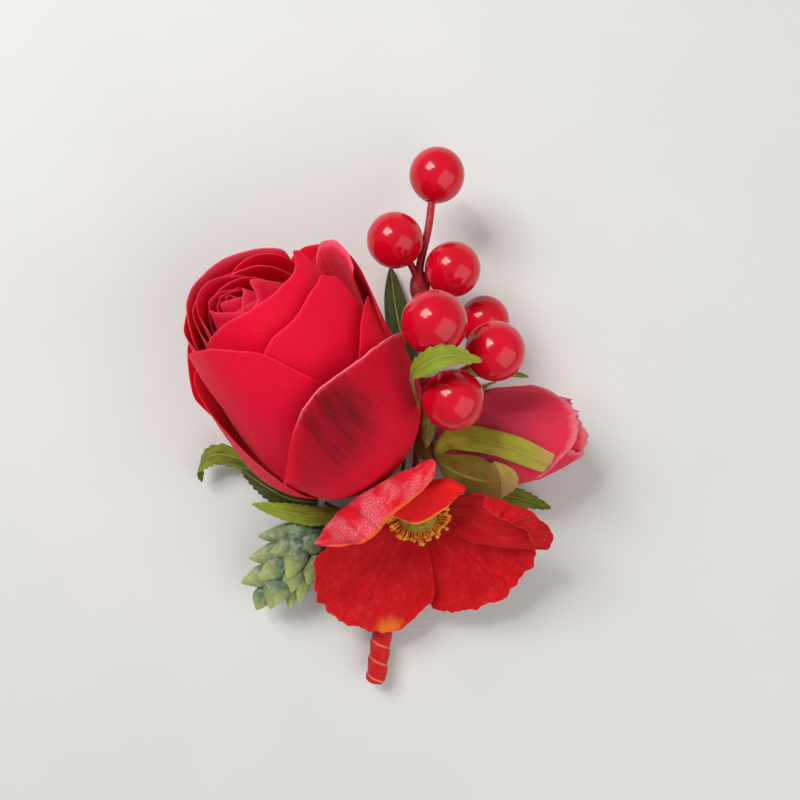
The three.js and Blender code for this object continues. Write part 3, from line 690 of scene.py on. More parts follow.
# %% Rose petals
for number, (label, petal) in enumerate((ROSE_PETALS | HEART).items()):
    petal["seed"] = number + 1
    across = max(26, int(petal["half"] * 0.62))
    nodes = ["rose_petal_" + label] if label in ROSE_PETALS else []
    sheet("rose_" + label, nodes, "rose_cloth", petal.get("cloth", rose_cloth),
          cup_petal(ROSE, petal), across, 34, place=rose_place,
          relief=lambda u, v, s=number: 0.09 * smooth(v, 0.2, 0.8) * ripple(u * 9.0, v * 1.6, s + 40))
print("rose petals", len(ROSE_PETALS), "and strips in its heart", len(HEART))

# %% [markdown]
# ## The rosebud
# The bud lies on its side and is a smaller, closed cup of the same kind. Its six petals have livelier,
# more frayed rims than the rose's, because the cloth was cut small and left unsealed.

# %% Rosebud
BUD = {"wide": 11.6, "wide_at": 15.0, "height": 31.5, "tuck": 4.6, "layer": 0.95, "foot": 2.9}
bud_place = flower_place((7.8, -10.7, 10.6), 8.0, 6.0)
BUD_PETALS = {
    "top": dict(layer=0, middle=-18, half=72, rim=[24, 29.5, 31.5, 30, 23], roll=25),
    "front": dict(layer=1, middle=72, half=62, rim=[25, 30.5, 32, 30.5, 25], roll=20),
    "below": dict(layer=0, middle=165, half=60, rim=[23, 28.5, 30, 28.5, 23], roll=20),
    "rear": dict(layer=1, middle=-105, half=62, rim=[25, 30.5, 31.5, 30.5, 25], roll=20),
    "fold": dict(layer=2, middle=15, half=100, rim=[27.5, 31.5, 33, 32.5, 28.5], roll=20),
    "inner": dict(layer=3, middle=-150, half=110, rim=[26.5, 31.5, 32.5, 32, 27.5], roll=15),
}
for number, (label, petal) in enumerate(BUD_PETALS.items()):
    petal.update(seed=number + 30, roll_length=2.0, wave=0.5, waves=9, fray=1.4, press=0.4,
                 flare=0.2)
    sheet("bud_" + label, ["bud_petal_" + label], "bud_cloth", bud_cloth, cup_petal(BUD, petal),
          max(30, int(petal["half"] * 0.5)), 30, place=bud_place,
          relief=lambda u, v, s=number: 0.1 * smooth(v, 0.5, 1.0) * ripple(u * 14.0, v * 2.0, s + 60))
print("bud petals", len(BUD_PETALS))

# %% [markdown]
# ## The poppy's petals
# A poppy is too open and too crumpled for a cup. Each petal is lofted instead: a few rows of points
# run from its foot to its rim, left to right, and a smooth surface passes through them. The frill
# and the creases are added afterwards.

# %% Poppy petals


def loft(rows):
    rows = [[Vector(point) for point in row] for row in rows]

    def surface(u, v):
        return spline([spline(row, (u + 1.0) / 2.0) for row in rows], v)
    return surface


POPPY_PETALS = {
    "lower_left": [
        [(0.7, -23.4, 14), (1.1, -24.9, 13), (2.2, -25.8, 12.4), (3.4, -26.1, 12.1), (4.7, -25.9, 12.1)],
        [(-12.5, -30, 18.5), (-10.5, -36.5, 13.2), (-4.8, -41, 9.8), (1.6, -42.2, 9.2), (7.4, -38.5, 10.6)],
        [(-19, -33.3, 20.6), (-18.2, -45.1, 13.5), (-9.1, -51.9, 9), (0, -52.5, 8), (8.4, -45.4, 9.8)],
    ],
    "lower_right": [
        [(3.3, -26.1, 10.6), (4.9, -25.9, 10.6), (6.2, -25.1, 11), (7.1, -23.9, 11.8), (7.4, -22.8, 12.4)],
        [(5.4, -41, 7.4), (13, -41, 8.8), (18.8, -37, 11), (21.5, -32, 14), (21.8, -28, 16.6)],
        [(6.9, -48.6, 7.4), (14.8, -48, 9), (23.5, -44, 12), (28.4, -37, 15.5), (31.5, -31.5, 18)],
    ],
    "right": [
        [(6.5, -24.4, 13.2), (6.7, -23.5, 13.8), (6.5, -22.7, 14.3), (6.2, -22.2, 14.6), (5.9, -21.8, 14.9)],
        [(15.5, -31, 17), (19, -28.5, 19.2), (19.5, -25, 21.8), (17.4, -22, 23), (14.6, -19.8, 23.6)],
        [(31.1, -32.2, 20.4), (32.1, -28.5, 23), (28.1, -23.9, 26), (22.6, -21.2, 28), (17, -19.6, 28.8)],
        [(28, -30.8, 22.6), (27.1, -27.6, 25.8), (23.3, -25.5, 28), (19.8, -24, 29.2), (16.4, -22, 29.8)],
    ],
    "tongue": [
        [(1.4, -22, 15.1), (2.4, -21.4, 15.4), (3.5, -21.1, 15.5), (4.6, -21.1, 15.4)],
        [(-2.2, -21.4, 20.8), (3.4, -18.6, 22.2), (8.8, -16.8, 23.4), (12.4, -18, 23.8)],
        [(-3, -23, 26), (3, -19.6, 27.6), (9, -17, 28.6), (13.6, -18.6, 28.6)],
        [(-2, -25.3, 25.2), (4, -26.1, 24.2), (9, -23, 26.2), (12.2, -20, 28.2)],
    ],
    "upper_left": [
        [(0.1, -23.8, 12.3), (0, -22.5, 13.1), (0.8, -21, 14), (2.4, -20, 14.6)],
        [(-14.6, -31.6, 15.4), (-11.2, -26, 17), (-3.6, -21, 19.6), (5, -14.8, 20.8)],
        [(-18.2, -30.6, 21.8), (-11.9, -22.8, 27.4), (-3.0, -16.6, 30), (6.8, -12.0, 31)],
        [(-11.6, -32, 24.4), (-5.6, -28.2, 28.4), (-0.2, -22.2, 31), (8.4, -16.8, 32)],
    ],
}
POPPY_CLOTH = {"lower_left": poppy_blotched, "tongue": poppy_lit_tongue, "upper_left": poppy_painted_sheen}
POPPY_CORNERS = {"tongue": 0.12, "upper_left": 0.09}


def frilled(surface, seed, fray, rounding, folded=False, foot=Vector((3.6, -23.4, 13.4))):
    """Push the rim in and out along the petal, in large scallops with small nicks."""
    def shaped(u, v):
        # Corners are cut round: the rows shorten towards the sides and narrow towards the rim. A
        # petal that is folded over has a second pair of corners, where the fold meets the sides.
        cut = 1.0 - math.sin(math.pi * max(0.0, v - 0.6) / 0.4) if folded else v ** 6
        point = surface(u * (1.0 - rounding * cut), v * (1.0 - 1.2 * rounding * abs(u) ** 5))
        outward = (point - foot).normalized()
        scallop = ripple(u * 3.2, 0.0, seed) + 0.5 * ripple(u * 12.0, 0.0, seed + 3)
        scallop += 0.3 * ripple(u * 30.0, 0.0, seed + 6) * smooth(v, 0.93, 1.0)
        return point + outward * fray * scallop * smooth(v, 0.7, 1.0)
    return shaped


for number, (label, rows) in enumerate(POPPY_PETALS.items()):
    plain = label == "tongue"
    surface = frilled(loft(rows), number + 80, 0.4 if plain else 1.5,
                      POPPY_CORNERS.get(label, 0.05), folded=label == "upper_left")
    crinkle = 0.12 if plain else 0.42

    def relief(u, v, seed=number, size=crinkle):
        folds = ripple(u * 5.5 + 0.6 * ripple(u * 2, v * 3, seed), v * 1.1, seed + 90)
        fine = ripple(u * 16.0, v * 3.4, seed + 95)
        return size * smooth(v, 0.05, 0.8) * (folds + 0.35 * fine)

    sheet("poppy_" + label, ["poppy_petal_" + label], "poppy_cloth",
          POPPY_CLOTH.get(label, poppy_cloth), surface, 72, 44, relief=relief)
print("poppy petals", len(POPPY_PETALS))

# %% [markdown]
# ## The leaves
# A leaf follows a curved spine and hollows a little towards its midrib. Its width swells and then
# runs out to the tip, past a plain stalk where it has one, and its edge is cut in small teeth.

# %% Leaves


LEAF_HOLLOW = 0.4


def leaf(spine, side, width, blunt=0.25, stalk=0.0, teeth=0.0):
    spine = [Vector(point) for point in spine]
    across = Vector(side).normalized()

    def surface(u, v):
        tangent = (spline(spine, v + 0.01) - spline(spine, v - 0.01)).normalized()
        lateral = (across - tangent * across.dot(tangent)).normalized()
        lift = lateral.cross(tangent)
        blade = max(0.0, v - stalk) / (1.0 - stalk)
        share = abs(math.sin(math.pi * blade ** 0.8)) ** 0.7
        reach = width / 2.0 * (blunt * (1.0 - blade) + 0.02 + (1.0 - blunt * (1.0 - blade)) * share)
        notch = (v * 13.0 + 0.3 * ripple(v * 9.0, 0.0, u > 0)) % 1.0
        saw = teeth * (notch - 0.4) * smooth(abs(u), 0.6, 1.0)
        saw *= smooth(blade, 0.03, 0.2) * smooth(1.0 - blade, 0.0, 0.1)
        return spline(spine, v) + lateral * u * (reach + saw) + lift * LEAF_HOLLOW * u * u
    return surface


LEAVES = {
    "over_berries": ("leaf, bright", dict(
        spine=[(3.9, -1, 29), (3, 1.6, 36), (2.6, 4.6, 42), (5, 6.8, 45.4), (9, 8.2, 46.4),
               (15.2, 7.2, 44)],
        side=(0.35, -0.9, 0.1), width=4.4, stalk=0.42, blunt=0.34, teeth=0.55)),
    "between": ("leaf, olive", dict(
        spine=[(6.3, -1.6, 27), (5.9, -6, 23.4), (5.6, -10.4, 19.8)],
        side=(1, 0.1, 0.3), width=2.8, teeth=0.55)),
    "behind_berries": ("leaf, dark", dict(
        spine=[(3.2, 4, 2.2), (0.6, 14, 1.4), (-1.2, 23, 0.7), (-2.2, 31.5, 0.5)],
        side=(1, 0.1, 0), width=6)),
    "under_rose": ("leaf, bright", dict(
        spine=[(-12.8, -25.4, 11.4), (-19, -26, 12.4), (-26, -25, 11.6), (-33.6, -23.6, 9.6)],
        side=(0, -1, 0.1), width=4.4, teeth=0.3)),
    "low_left": ("leaf, dark", dict(
        spine=[(-19, -23.8, 5), (-25.5, -22.8, 6.2), (-31, -19.8, 7), (-36.4, -16, 7.4)],
        side=(-0.4, -1, 0.1), width=5, teeth=0.55)),
    "bent_tip": ("leaf, mid", dict(
        spine=[(-28.6, -17, 1.4), (-36, -14.2, 3.2), (-42.7, -12.6, 5.2), (-46.6, -15.4, 4.2),
               (-46.9, -19.2, 2)], side=(-0.3, -1, 0.1), width=4.6, teeth=0.55)),
    "under_bud": ("leaf, mid", dict(
        spine=[(15.6, -19.8, 1.6), (21.5, -21.8, 2.6), (28, -23, 3.2), (35.4, -25.4, 2.4)],
        side=(-0.2, -1, 0.1), width=5, teeth=0.5)),
    "behind_bud": ("leaf, mid", dict(
        spine=[(13.5, 5.8, 3), (19, 6.4, 6.6), (24, 6.2, 9.6), (29, 5.2, 11)],
        side=(0, -1, 0.1), width=2.2)),
}
for number, (label, (cloth, shape)) in enumerate(LEAVES.items()):
    sheet("leaf_blade_" + label, ["leaf_" + label], "leaf_cloth", leaf_cloths[cloth], leaf(**shape),
          12, 104, relief=lambda u, v, s=number: 0.12 * ripple(u * 2.0, v * 6.0, s + 120))
print("leaves", len(LEAVES))

# %% [markdown]
# ## The poppy's centre
# A low green dome carries small grains, set by the golden angle so that they never line up. Round
# it stands a dense ring of stamens, each a bent thread with a swollen end. Dome, calyxes and cores
# are bodies of revolution, and threads, wires and stems are round bars, so two helpers make them all.


# %% Finishes for moulded parts
def grained(name, first, second, scale, roughness, relief, depth=0.0002, **settings):
    """Two tints in soft clouds, with a matching fine relief, in the object's own space."""
    material, tree, shader = finish(name, roughness, **settings)
    place = object_place(tree)
    cloud = noise_node(tree, place, scale, 4.0)
    colour = mixed(tree, remap(tree, cloud, 0.35, 0.65), first, second)
    tree.links.new(colour, shader.inputs["Base Color"])
    fine = noise_node(tree, place, scale * 6.0, 4.0, 0.65)
    tree.links.new(math_node(tree, "ADD", roughness - 0.05, math_node(tree, "MULTIPLY", fine, 0.1)),
                   shader.inputs["Roughness"])
    bump(tree, shader, fine, relief, depth)
    return material


dome_moulding = grained("poppy dome", linear(164, 142, 26), linear(128, 112, 20), 900.0, 0.6, 0.5)
stamen_thread = grained("stamen", linear(246, 178, 34), linear(232, 128, 22), 500.0, 0.55, 0.4)
calyx_moulding = grained("calyx", linear(96, 112, 40), linear(68, 82, 26), 300.0, 0.6, 0.5)
core_cloth = grained("flower core", linear(150, 14, 28), linear(110, 8, 18), 400.0, 0.8, 0.5)


# %% Turned bodies and bars
def turned(bm, profile, around=28, along=30):
    """A body of revolution about +Z through a smooth [radius, height] outline, foot to top."""
    outline = [Vector((radius, height)) for radius, height in profile]

    def shape(s, t):
        radius, height = spline(outline, t)
        turn = 2.0 * math.pi * s
        radius = max(0.0, radius)
        return Vector((radius * math.cos(turn), radius * math.sin(turn), height))

    rolled(bm, around, along, shape)


def bar(bm, path, radius, around=10, along=40):
    """A closed round bar along a smooth path. radius is a number or a function of (s, t)."""
    points = [Vector(point) for point in path]
    stations = [spline(points, index / along) for index in range(along + 1)]
    side = (stations[1] - stations[0]).orthogonal().normalized()
    frames = []
    for index, here in enumerate(stations):
        ahead = (stations[min(index + 1, along)] - stations[max(index - 1, 0)]).normalized()
        side = (side - ahead * side.dot(ahead)).normalized()
        frames.append((here, side, ahead.cross(side)))

    def shape(s, t):
        row = round(t * (along + 2)) - 1
        here, first, second = frames[min(max(row, 0), along)]
        if row < 0 or row > along:
            return here
        share = row / along
        size = radius(s, share) if callable(radius) else radius
        turn = 2.0 * math.pi * s
        return here + first * size * math.cos(turn) + second * size * math.sin(turn)

    rolled(bm, around, along + 2, shape)


# %% Poppy centre
GRAINS = 110
STAMENS = 74
GOLDEN_ANGLE = math.radians(137.508)
poppy_place = flower_place((3.4, -20.5, 9.0), -84.0, 57.0)
bm = new_bm()
turned(bm, [(0, 7.8), (2.6, 7.9), (4.1, 8.6), (4.2, 9.6), (3.4, 10.6), (1.6, 11.2), (0, 11.3)], 36, 24)
for index in range(GRAINS):
    share = math.sqrt((index + 0.5) / GRAINS)
    turn = index * GOLDEN_ANGLE
    centre = Vector((4.0 * share * math.cos(turn), 4.0 * share * math.sin(turn),
                     11.25 - 1.7 * share ** 2.6))
    grain = bmesh.ops.create_icosphere(bm, subdivisions=2, radius=0.27)["verts"]
    bmesh.ops.translate(bm, verts=grain, vec=centre)
add_piece(bm, "poppy_dome", ["poppy_disc"], "poppy_disc", dome_moulding, poppy_place)

random.seed(11)
bm = new_bm()
for index in range(STAMENS):
    turn = math.radians(360.0 * index / STAMENS + random.uniform(-2.0, 2.0))
    out = Vector((math.cos(turn), math.sin(turn), 0.0))
    reach = random.uniform(5.6, 6.9)
    rise = random.uniform(9.0, 10.8)
    path = [out * 3.9 + Vector((0, 0, 8.7)), out * (reach * 0.82) + Vector((0, 0, rise * 0.97)),
            out * reach + Vector((0, 0, rise))]
    bar(bm, path, 0.13, 6, 8)
    head = bmesh.ops.create_icosphere(bm, subdivisions=2, radius=0.46)["verts"]
    bmesh.ops.scale(bm, verts=head, vec=(1.25, 1.0, 0.9))
    bmesh.ops.rotate(bm, verts=head, cent=(0, 0, 0), matrix=Matrix.Rotation(turn, 3, "Z"))
    bmesh.ops.translate(bm, verts=head, vec=path[-1])
add_piece(bm, "poppy_stamen_ring", ["poppy_stamens"], "stamens", stamen_thread, poppy_place)

bm = new_bm()
turned(bm, [(0, -3.6), (1.1, -3.4), (2.4, -1.8), (2.2, -0.2), (1.7, 0.6), (1.8, 6), (1.2, 7.4),
            (0, 7.4)])
add_piece(bm, "poppy_seat", ["poppy_receptacle"], "calyx", calyx_moulding, poppy_place)
print("poppy grains and stamens", GRAINS, STAMENS)

# %% [markdown]
# ## Cores and calyxes
# The petals are glued round a wound core. The calyx is a soft moulded cone that hides the glue. The
# bud has four sepals as well, long and cut from leaf cloth, and one of them has folded over.

# %% Cores, calyxes and sepals
for name, node, slot, cloth, profile, where in (
    ("rose_heart", "rose_core", "flower_core", core_cloth,
     [(0, -0.4), (1.8, 0), (2.5, 8), (2.6, 34), (2.2, 43), (0, 46)], rose_place),
    ("rose_cup", "rose_calyx", "calyx", calyx_moulding,
     [(0, -5), (1.2, -4.9), (2.6, -3.4), (4.4, -2), (4.6, -1.4), (0, -1.4)], rose_place),
    ("bud_heart", "bud_core", "flower_core", core_cloth,
     [(0, 0.2), (1.7, 0.6), (2.2, 6), (2.4, 20), (1.6, 26), (0, 27)], bud_place),
    ("bud_cup", "bud_calyx", "sepals", leaf_cloths["sepal, olive"],
     [(0, -4.5), (1.1, -4.4), (2.6, -2.9), (3.6, -1.8), (3.6, -0.42), (0, -0.42)], bud_place),
):
    bm = new_bm()
    turned(bm, profile)
    add_piece(bm, name, [node], slot, cloth, where)


def cup_radius(cup, inset, height):
    below = max(0.0, cup["wide_at"] - height) / (cup["wide_at"] - inset)
    above = max(0.0, height - cup["wide_at"]) / (cup["height"] - cup["wide_at"])
    bowl = math.sqrt(max(0.0, 1.0 - min(1.0, below) ** 2))
    return (cup["wide"] - inset) * bowl - cup["tuck"] * above ** 2


def sepal(track, lift, seed, tips):
    """A strip laid over the bud along a track of (height, azimuth in degrees, half width in mm)."""
    track = [Vector(station) for station in track]

    def middle(v):
        height, azimuth, _ = spline(track, v)
        turn = math.radians(azimuth)
        radius = max(0.9, cup_radius(BUD, -1.2, height)) + lift * (0.4 + smooth(v, 0.5, 1.0))
        return Vector((radius * math.cos(turn), radius * math.sin(turn), height))

    def surface(u, v):
        here = middle(v)
        ahead = (middle(min(v + 0.02, 1.0)) - middle(max(v - 0.02, 0.0))).normalized()
        outward = Vector((here.x, here.y, 0.0)).normalized()
        outward = (outward - ahead * outward.dot(ahead)).normalized()
        side = ahead.cross(outward)
        half = max(0.15, spline(track, v).z) + 0.16 * ripple(v * 7.0, u > 0, seed)
        return (here - side * half * u + ahead * tips * (1.0 - u * u) * smooth(v, 0.85, 1.0)
                - outward * 0.5 * u * u * (1.0 - smooth(v, 0.8, 1.0))
                + outward * 0.25 * ripple(u * 1.5, v * 3.0, seed))
    return surface


SEPALS = {
    "broad": ("sepal, olive", 0.2, 0.8, [(0.2, 26, 1.6), (3, 32, 3.8), (6.6, 37, 5.8),
                                         (10.2, 40, 6.4), (13, 40, 5.6)]),
    "folded": ("sepal, tan", 0.8, 0.6, [(12.2, 20, 0.8), (14.4, 32, 2.2), (14.8, 46, 2.6),
                                        (13.2, 62, 1.8), (11.2, 78, 0.5)]),
    "long": ("sepal, green", 1.1, 0.3, [(0.2, 12, 0.9), (3.4, -9, 2.2), (8.3, -8, 2.7),
                                        (13.5, 0, 2.7), (18.9, 11, 2.8), (24.2, 27, 2.5)]),
    "rear": ("sepal, olive", 0.2, 1.4, [(0.2, -70, 0.8), (4, -68, 2.2), (8, -66, 2.6),
                                        (11.5, -70, 1.8), (14.5, -74, 0.4)]),
}
for number, (label, (cloth, lift, tips, track)) in enumerate(SEPALS.items()):
    sheet("bud_sepal_" + label, ["bud_calyx"], "sepals", leaf_cloths[cloth],
          sepal(track, lift, number + 50, tips), 14, 60, place=bud_place)
print("sepals", len(SEPALS))

# %% [markdown]
# ## Berries
# The beads are lacquered and sit on red paper-taped wires. Each bead has a small pressed hollow with
# a rounded brim where its stem goes in, so a ball of small triangles is pushed in at that spot.

# %% Berries
bead_lacquer, tree, shader = finish("bead lacquer", 0.2, Specular_IOR_Level=0.25, Coat_Weight=0.25,
                                    Coat_Roughness=0.07)
place = object_place(tree)
cloud = noise_node(tree, place, 160.0, 3.0)
tree.links.new(mixed(tree, remap(tree, cloud, 0.3, 0.7), linear(206, 6, 38), linear(190, 4, 30)),
               shader.inputs["Base Color"])
dust = noise_node(tree, place, 900.0, 4.0, 0.7)
tree.links.new(math_node(tree, "ADD", 0.1, math_node(tree, "MULTIPLY", dust, 0.16)),
               shader.inputs["Roughness"])
bump(tree, shader, noise_node(tree, place, 260.0, 2.0), 0.12, 0.0002)

BERRIES = {
    "top": ((8, 48.7, 18.4), 6.0, [(4.3, 24.6, 17.4), (4.3, 29, 18.4), (6.1, 37, 18.6), (7, 44, 18.4)],
            0.85),
    "left": ((-1.1, 34, 21.7), 6.0, [(4.4, 22.6, 15.4), (3.4, 27, 18.4), (1.8, 30, 20.2)], 0.75),
    "right": ((11.3, 28.1, 19.8), 6.0, [(4.8, 17, 9.2), (8.2, 22, 10), (10.4, 26.4, 14)], 0.6),
    "middle": ((6.5, 14.6, 42), 6.3, [(5, 8.6, 4.4), (5.6, 10.6, 22), (6.3, 13.8, 35.6)], 0.6),
    "back": ((18.8, 17.7, 12), 5.7, [(5, 10, 4.8), (11, 13.4, 6), (15, 15.6, 9.2)], 0.6),
    "outer": ((18.9, 9.7, 34), 6.0, [(5, 4, 3.6), (12.4, 6, 17), (17.6, 9, 28)], 0.6),
    "low": ((10.4, 0, 37), 6.1, [(5, 0.6, 3), (6.6, -0.4, 20), (9.6, -0.3, 31)], 0.6),
}
for label, (centre, radius, stem, thick) in BERRIES.items():
    towards = (Vector(stem[-1]) - Vector(centre)).normalized()
    bm = new_bm()
    bmesh.ops.create_icosphere(bm, subdivisions=5, radius=1.0)
    for vert in bm.verts:
        unit = vert.co.normalized()
        near = unit.angle(towards)
        hollow = 0.16 * (1.0 - smooth(near, 0.10, 0.22))
        brim = 0.012 * math.exp(-((near - 0.3) / 0.09) ** 2)
        vert.co = Vector(centre) + unit * radius * (1.0 - hollow + brim)
    add_piece(bm, "bead_" + label, ["berry_" + label], "berry_bead", bead_lacquer)
print("beads", len(BERRIES))

# %% [markdown]
# ## The wires
# Every flower and leaf has a wire, and florist's paper tape is wound round each. The wires run side
# by side in the sleeve, in a ring round the berry wire's own place, and fan out above it. Each is a
# bar along a smooth path, and its tape is a slanting seam in the finish. The berry stems are red and
# thicker, they swell where they meet a bead, and a flat web of tape fills their fork.


# %% Taped stems
def winding_of(tree, turns):
    """How many turns of tape a place has behind it, when the tape is wound slantwise round a bar."""
    around, along = sides_of(tree, sheet_place(tree))
    return math_node(tree, "ADD", around, math_node(tree, "MULTIPLY", along, turns))


def taped(name, first, second, edge, turns, roughness=0.6):
    """Paper tape wound round a bar: a slanting seam at each turn."""
    material, tree, shader = finish(name, roughness, Specular_IOR_Level=0.3)
    across = math_node(tree, "FRACT", winding_of(tree, turns))
    cloud = noise_node(tree, object_place(tree), 700.0, 4.0, 0.65)
    colour = mixed(tree, remap(tree, cloud, 0.3, 0.7), first, second)
    seam = math_node(tree, "SUBTRACT", 1.0, remap(tree, across, 0.04, 0.14))
    colour = mixed(tree, math_node(tree, "MULTIPLY", seam, 0.8), colour, edge)
    tree.links.new(colour, shader.inputs["Base Color"])
    ridge = math_node(tree, "ADD", across, math_node(tree, "MULTIPLY", cloud, 0.6))
    bump(tree, shader, ridge, 0.5, 0.00015)
    return material


berry_tape = taped("berry tape", linear(188, 40, 52), linear(152, 24, 36), linear(110, 12, 22),
                   26.0, 0.45)
wire_tape = taped("wire tape", linear(82, 104, 42), linear(58, 80, 30), linear(40, 56, 20), 40.0)

WRAP_TOP, WRAP_END = Vector((-2.3, -40.0, 3.4)), Vector((-5.7, -66.0, 2.75))
WIRE = 0.48
WIRE_RING = 1.5
axis = (WRAP_TOP - WRAP_END).normalized()
wrap_right = axis.cross(Vector((0, 0, 1))).normalized()
wrap_up = wrap_right.cross(axis)
wrap_length = (WRAP_TOP - WRAP_END).length
STEMS = {
    "rose": (None, [(-3.9, -30, 3), (-5.3, -23.4, 1.6), (-6.5, -18.6, 2.4)]),
    "poppy": (90, [(-0.4, -33, 4.2), (2, -24, 4), (2.9, -19.4, 4.9)]),
    "bud": (30, [(2.4, -33, 3.4), (6.6, -22, 3.8), (5.2, -14.4, 7.4)]),
    "berries": (-30, [(1.2, -33, 1.6), (2.4, -25, 1.4)]),
    "leaves": (-90, [(-3.6, -34, 1.2), (-0.2, -24, 1.2), (1.2, -12, 1.6), (3.6, -3, 1.2)]),
    "succulent": (150, [(-5, -35.4, 4), (-9.4, -32, 6.6), (-13, -30.6, 8.6)]),
    "foliage": (-150, [(-5.4, -34, 1.6), (-12, -27.4, 2), (-17.6, -24, 3.6)]),
}
BRANCH = [(3.6, -16, 1.5), (5, 0, 3), (5, 12, 5.2), (4.6, 19, 11.4), (4.3, 24.6, 17.4)]
routes = {}
for label, (slot_angle, onward) in STEMS.items():
    offset = Vector()
    if slot_angle is not None:
        turn = math.radians(slot_angle)
        offset = (wrap_right * math.cos(turn) + wrap_up * math.sin(turn)) * WIRE_RING
    start = [WRAP_END + axis * along + offset for along in (1.4, wrap_length / 2, wrap_length + 1)]
    routes[label] = start + [Vector(point) for point in onward]
for label, route in routes.items():
    if label == "berries":
        continue
    bm = new_bm()
    bar(bm, route, WIRE, 12, 70)
    add_piece(bm, "wire_" + label, ["stem_" + label], "stem_wire", wire_tape)

bm = new_bm()
bar(bm, routes["berries"] + [Vector(point) for point in BRANCH[:2]], WIRE, 12, 60)
bar(bm, BRANCH, lambda s, t: 0.8 + 0.5 * smooth(t, 0.8, 1.0), 14, 60)
for label, (centre, radius, stem, thick) in BERRIES.items():
    middle = Vector(centre)
    inwards = (Vector(stem[-1]) - middle).normalized()

    def swell(s, t, thick=thick):
        return thick * (1.0 + 0.55 * math.exp(-t / 0.14) + 0.18 * smooth(t, 0.86, 0.95))

    bar(bm, list(stem) + [middle + inwards * (radius - 1.6)], swell, 12, 40)
web = bmesh.ops.create_icosphere(bm, subdivisions=4, radius=1.0)["verts"]
bmesh.ops.scale(bm, verts=web, vec=(2.2, 3.8, 1.2))
bmesh.ops.translate(bm, verts=web, vec=BRANCH[-1])
add_piece(bm, "berry_stems", ["berry_branch"], "berry_branch", berry_tape)
print("wires", len(STEMS), "and sleeve length in mm", round(wrap_length, 1))

# %% [markdown]
# ## The bound stem
# The wires are bound with a satin ribbon that winds downwards. Each turn laps over the last, so the
# sleeve steps in and out, and fine metallic threads are woven along the ribbon's edge.

# %% Ribbon wrap
RIBBON_TURNS = 6.5
ribbon, tree, shader = finish("satin ribbon", 0.42, Specular_IOR_Level=0.25)
winding = winding_of(tree, RIBBON_TURNS)
across = math_node(tree, "FRACT", winding)
colour = mixed(tree, remap(tree, noise_node(tree, object_place(tree), 500.0), 0.3, 0.7),
               linear(206, 12, 20), linear(180, 8, 16))
from_edge = math_node(tree, "ABSOLUTE", math_node(tree, "SUBTRACT", across, 0.16))
thread = math_node(tree, "SINE", math_node(tree, "MULTIPLY", winding, 44.0 * math.pi))
stitch = remap(tree, thread, -0.7, 0.1)
line = math_node(tree, "SUBTRACT", 1.0, remap(tree, from_edge, 0.03, 0.08))
gold = math_node(tree, "MULTIPLY", line, stitch)
colour = mixed(tree, math_node(tree, "MULTIPLY", gold, 0.9), colour, linear(244, 138, 96))
tree.links.new(colour, shader.inputs["Base Color"])
ribs = math_node(tree, "SINE", math_node(tree, "MULTIPLY", across, 60.0 * math.pi))
bump(tree, shader, math_node(tree, "ADD", math_node(tree, "MULTIPLY", ribs, 0.25), gold), 0.5, 0.0001)


def wound(s, t):
    """The sleeve's radius: each turn steps up on to the last, and the cut end is drawn in."""
    lap = (s + t * RIBBON_TURNS) % 1.0
    step = 0.3 * (1.0 - smooth(lap, 0.0, 0.12)) + 0.3 * smooth(lap, 0.1, 1.0)
    return 2.2 + step - 0.5 * (1.0 - smooth(t, 0.0, 0.03)) ** 2


bm = new_bm()
bar(bm, [WRAP_END, WRAP_END.lerp(WRAP_TOP, 0.5), WRAP_TOP], wound, 40, 300)
add_piece(bm, "ribbon_wrap", ["stem_wrap"], "stem_tape", ribbon)
print("ribbon turns", RIBBON_TURNS)

# %% [markdown]
# ## The succulent sprig
# The leaflets are cast in soft plastic: plump, widest past the middle, with a blunt point and a faint
# keel. A pale bloom is sprayed on, and the tips are left yellow-green.

# %% Succulent
bloom, tree, shader = finish("succulent bloom", 0.7, Subsurface_Weight=0.12, Subsurface_Scale=0.002,
                             Specular_IOR_Level=0.3)
place = object_place(tree)
cloud = noise_node(tree, place, 260.0, 4.0)
to_tip = sides_of(tree, sheet_place(tree))[1]
colour = mixed(tree, remap(tree, math_node(tree, "ADD", to_tip, math_node(
    tree, "MULTIPLY", cloud, 0.5)), 0.55, 1.3), linear(70, 96, 72), linear(168, 176, 92))
# The leaflets turn a darker blue-green towards +y, where the sprig runs in under the rose.
upper = remap(tree, sides_of(tree, place)[1], placed((0, -38, 0)).y, placed((0, -28, 0)).y)
colour = mixed(tree, math_node(tree, "MULTIPLY", upper, 0.6), colour, linear(52, 86, 70))
dusting = noise_node(tree, place, 620.0, 5.0, 0.7)
colour = mixed(tree, math_node(tree, "MULTIPLY", remap(tree, dusting, 0.42, 0.68), 0.55), colour,
               linear(168, 178, 156))
tree.links.new(colour, shader.inputs["Base Color"])
bump(tree, shader, dusting, 0.4, 0.0002)

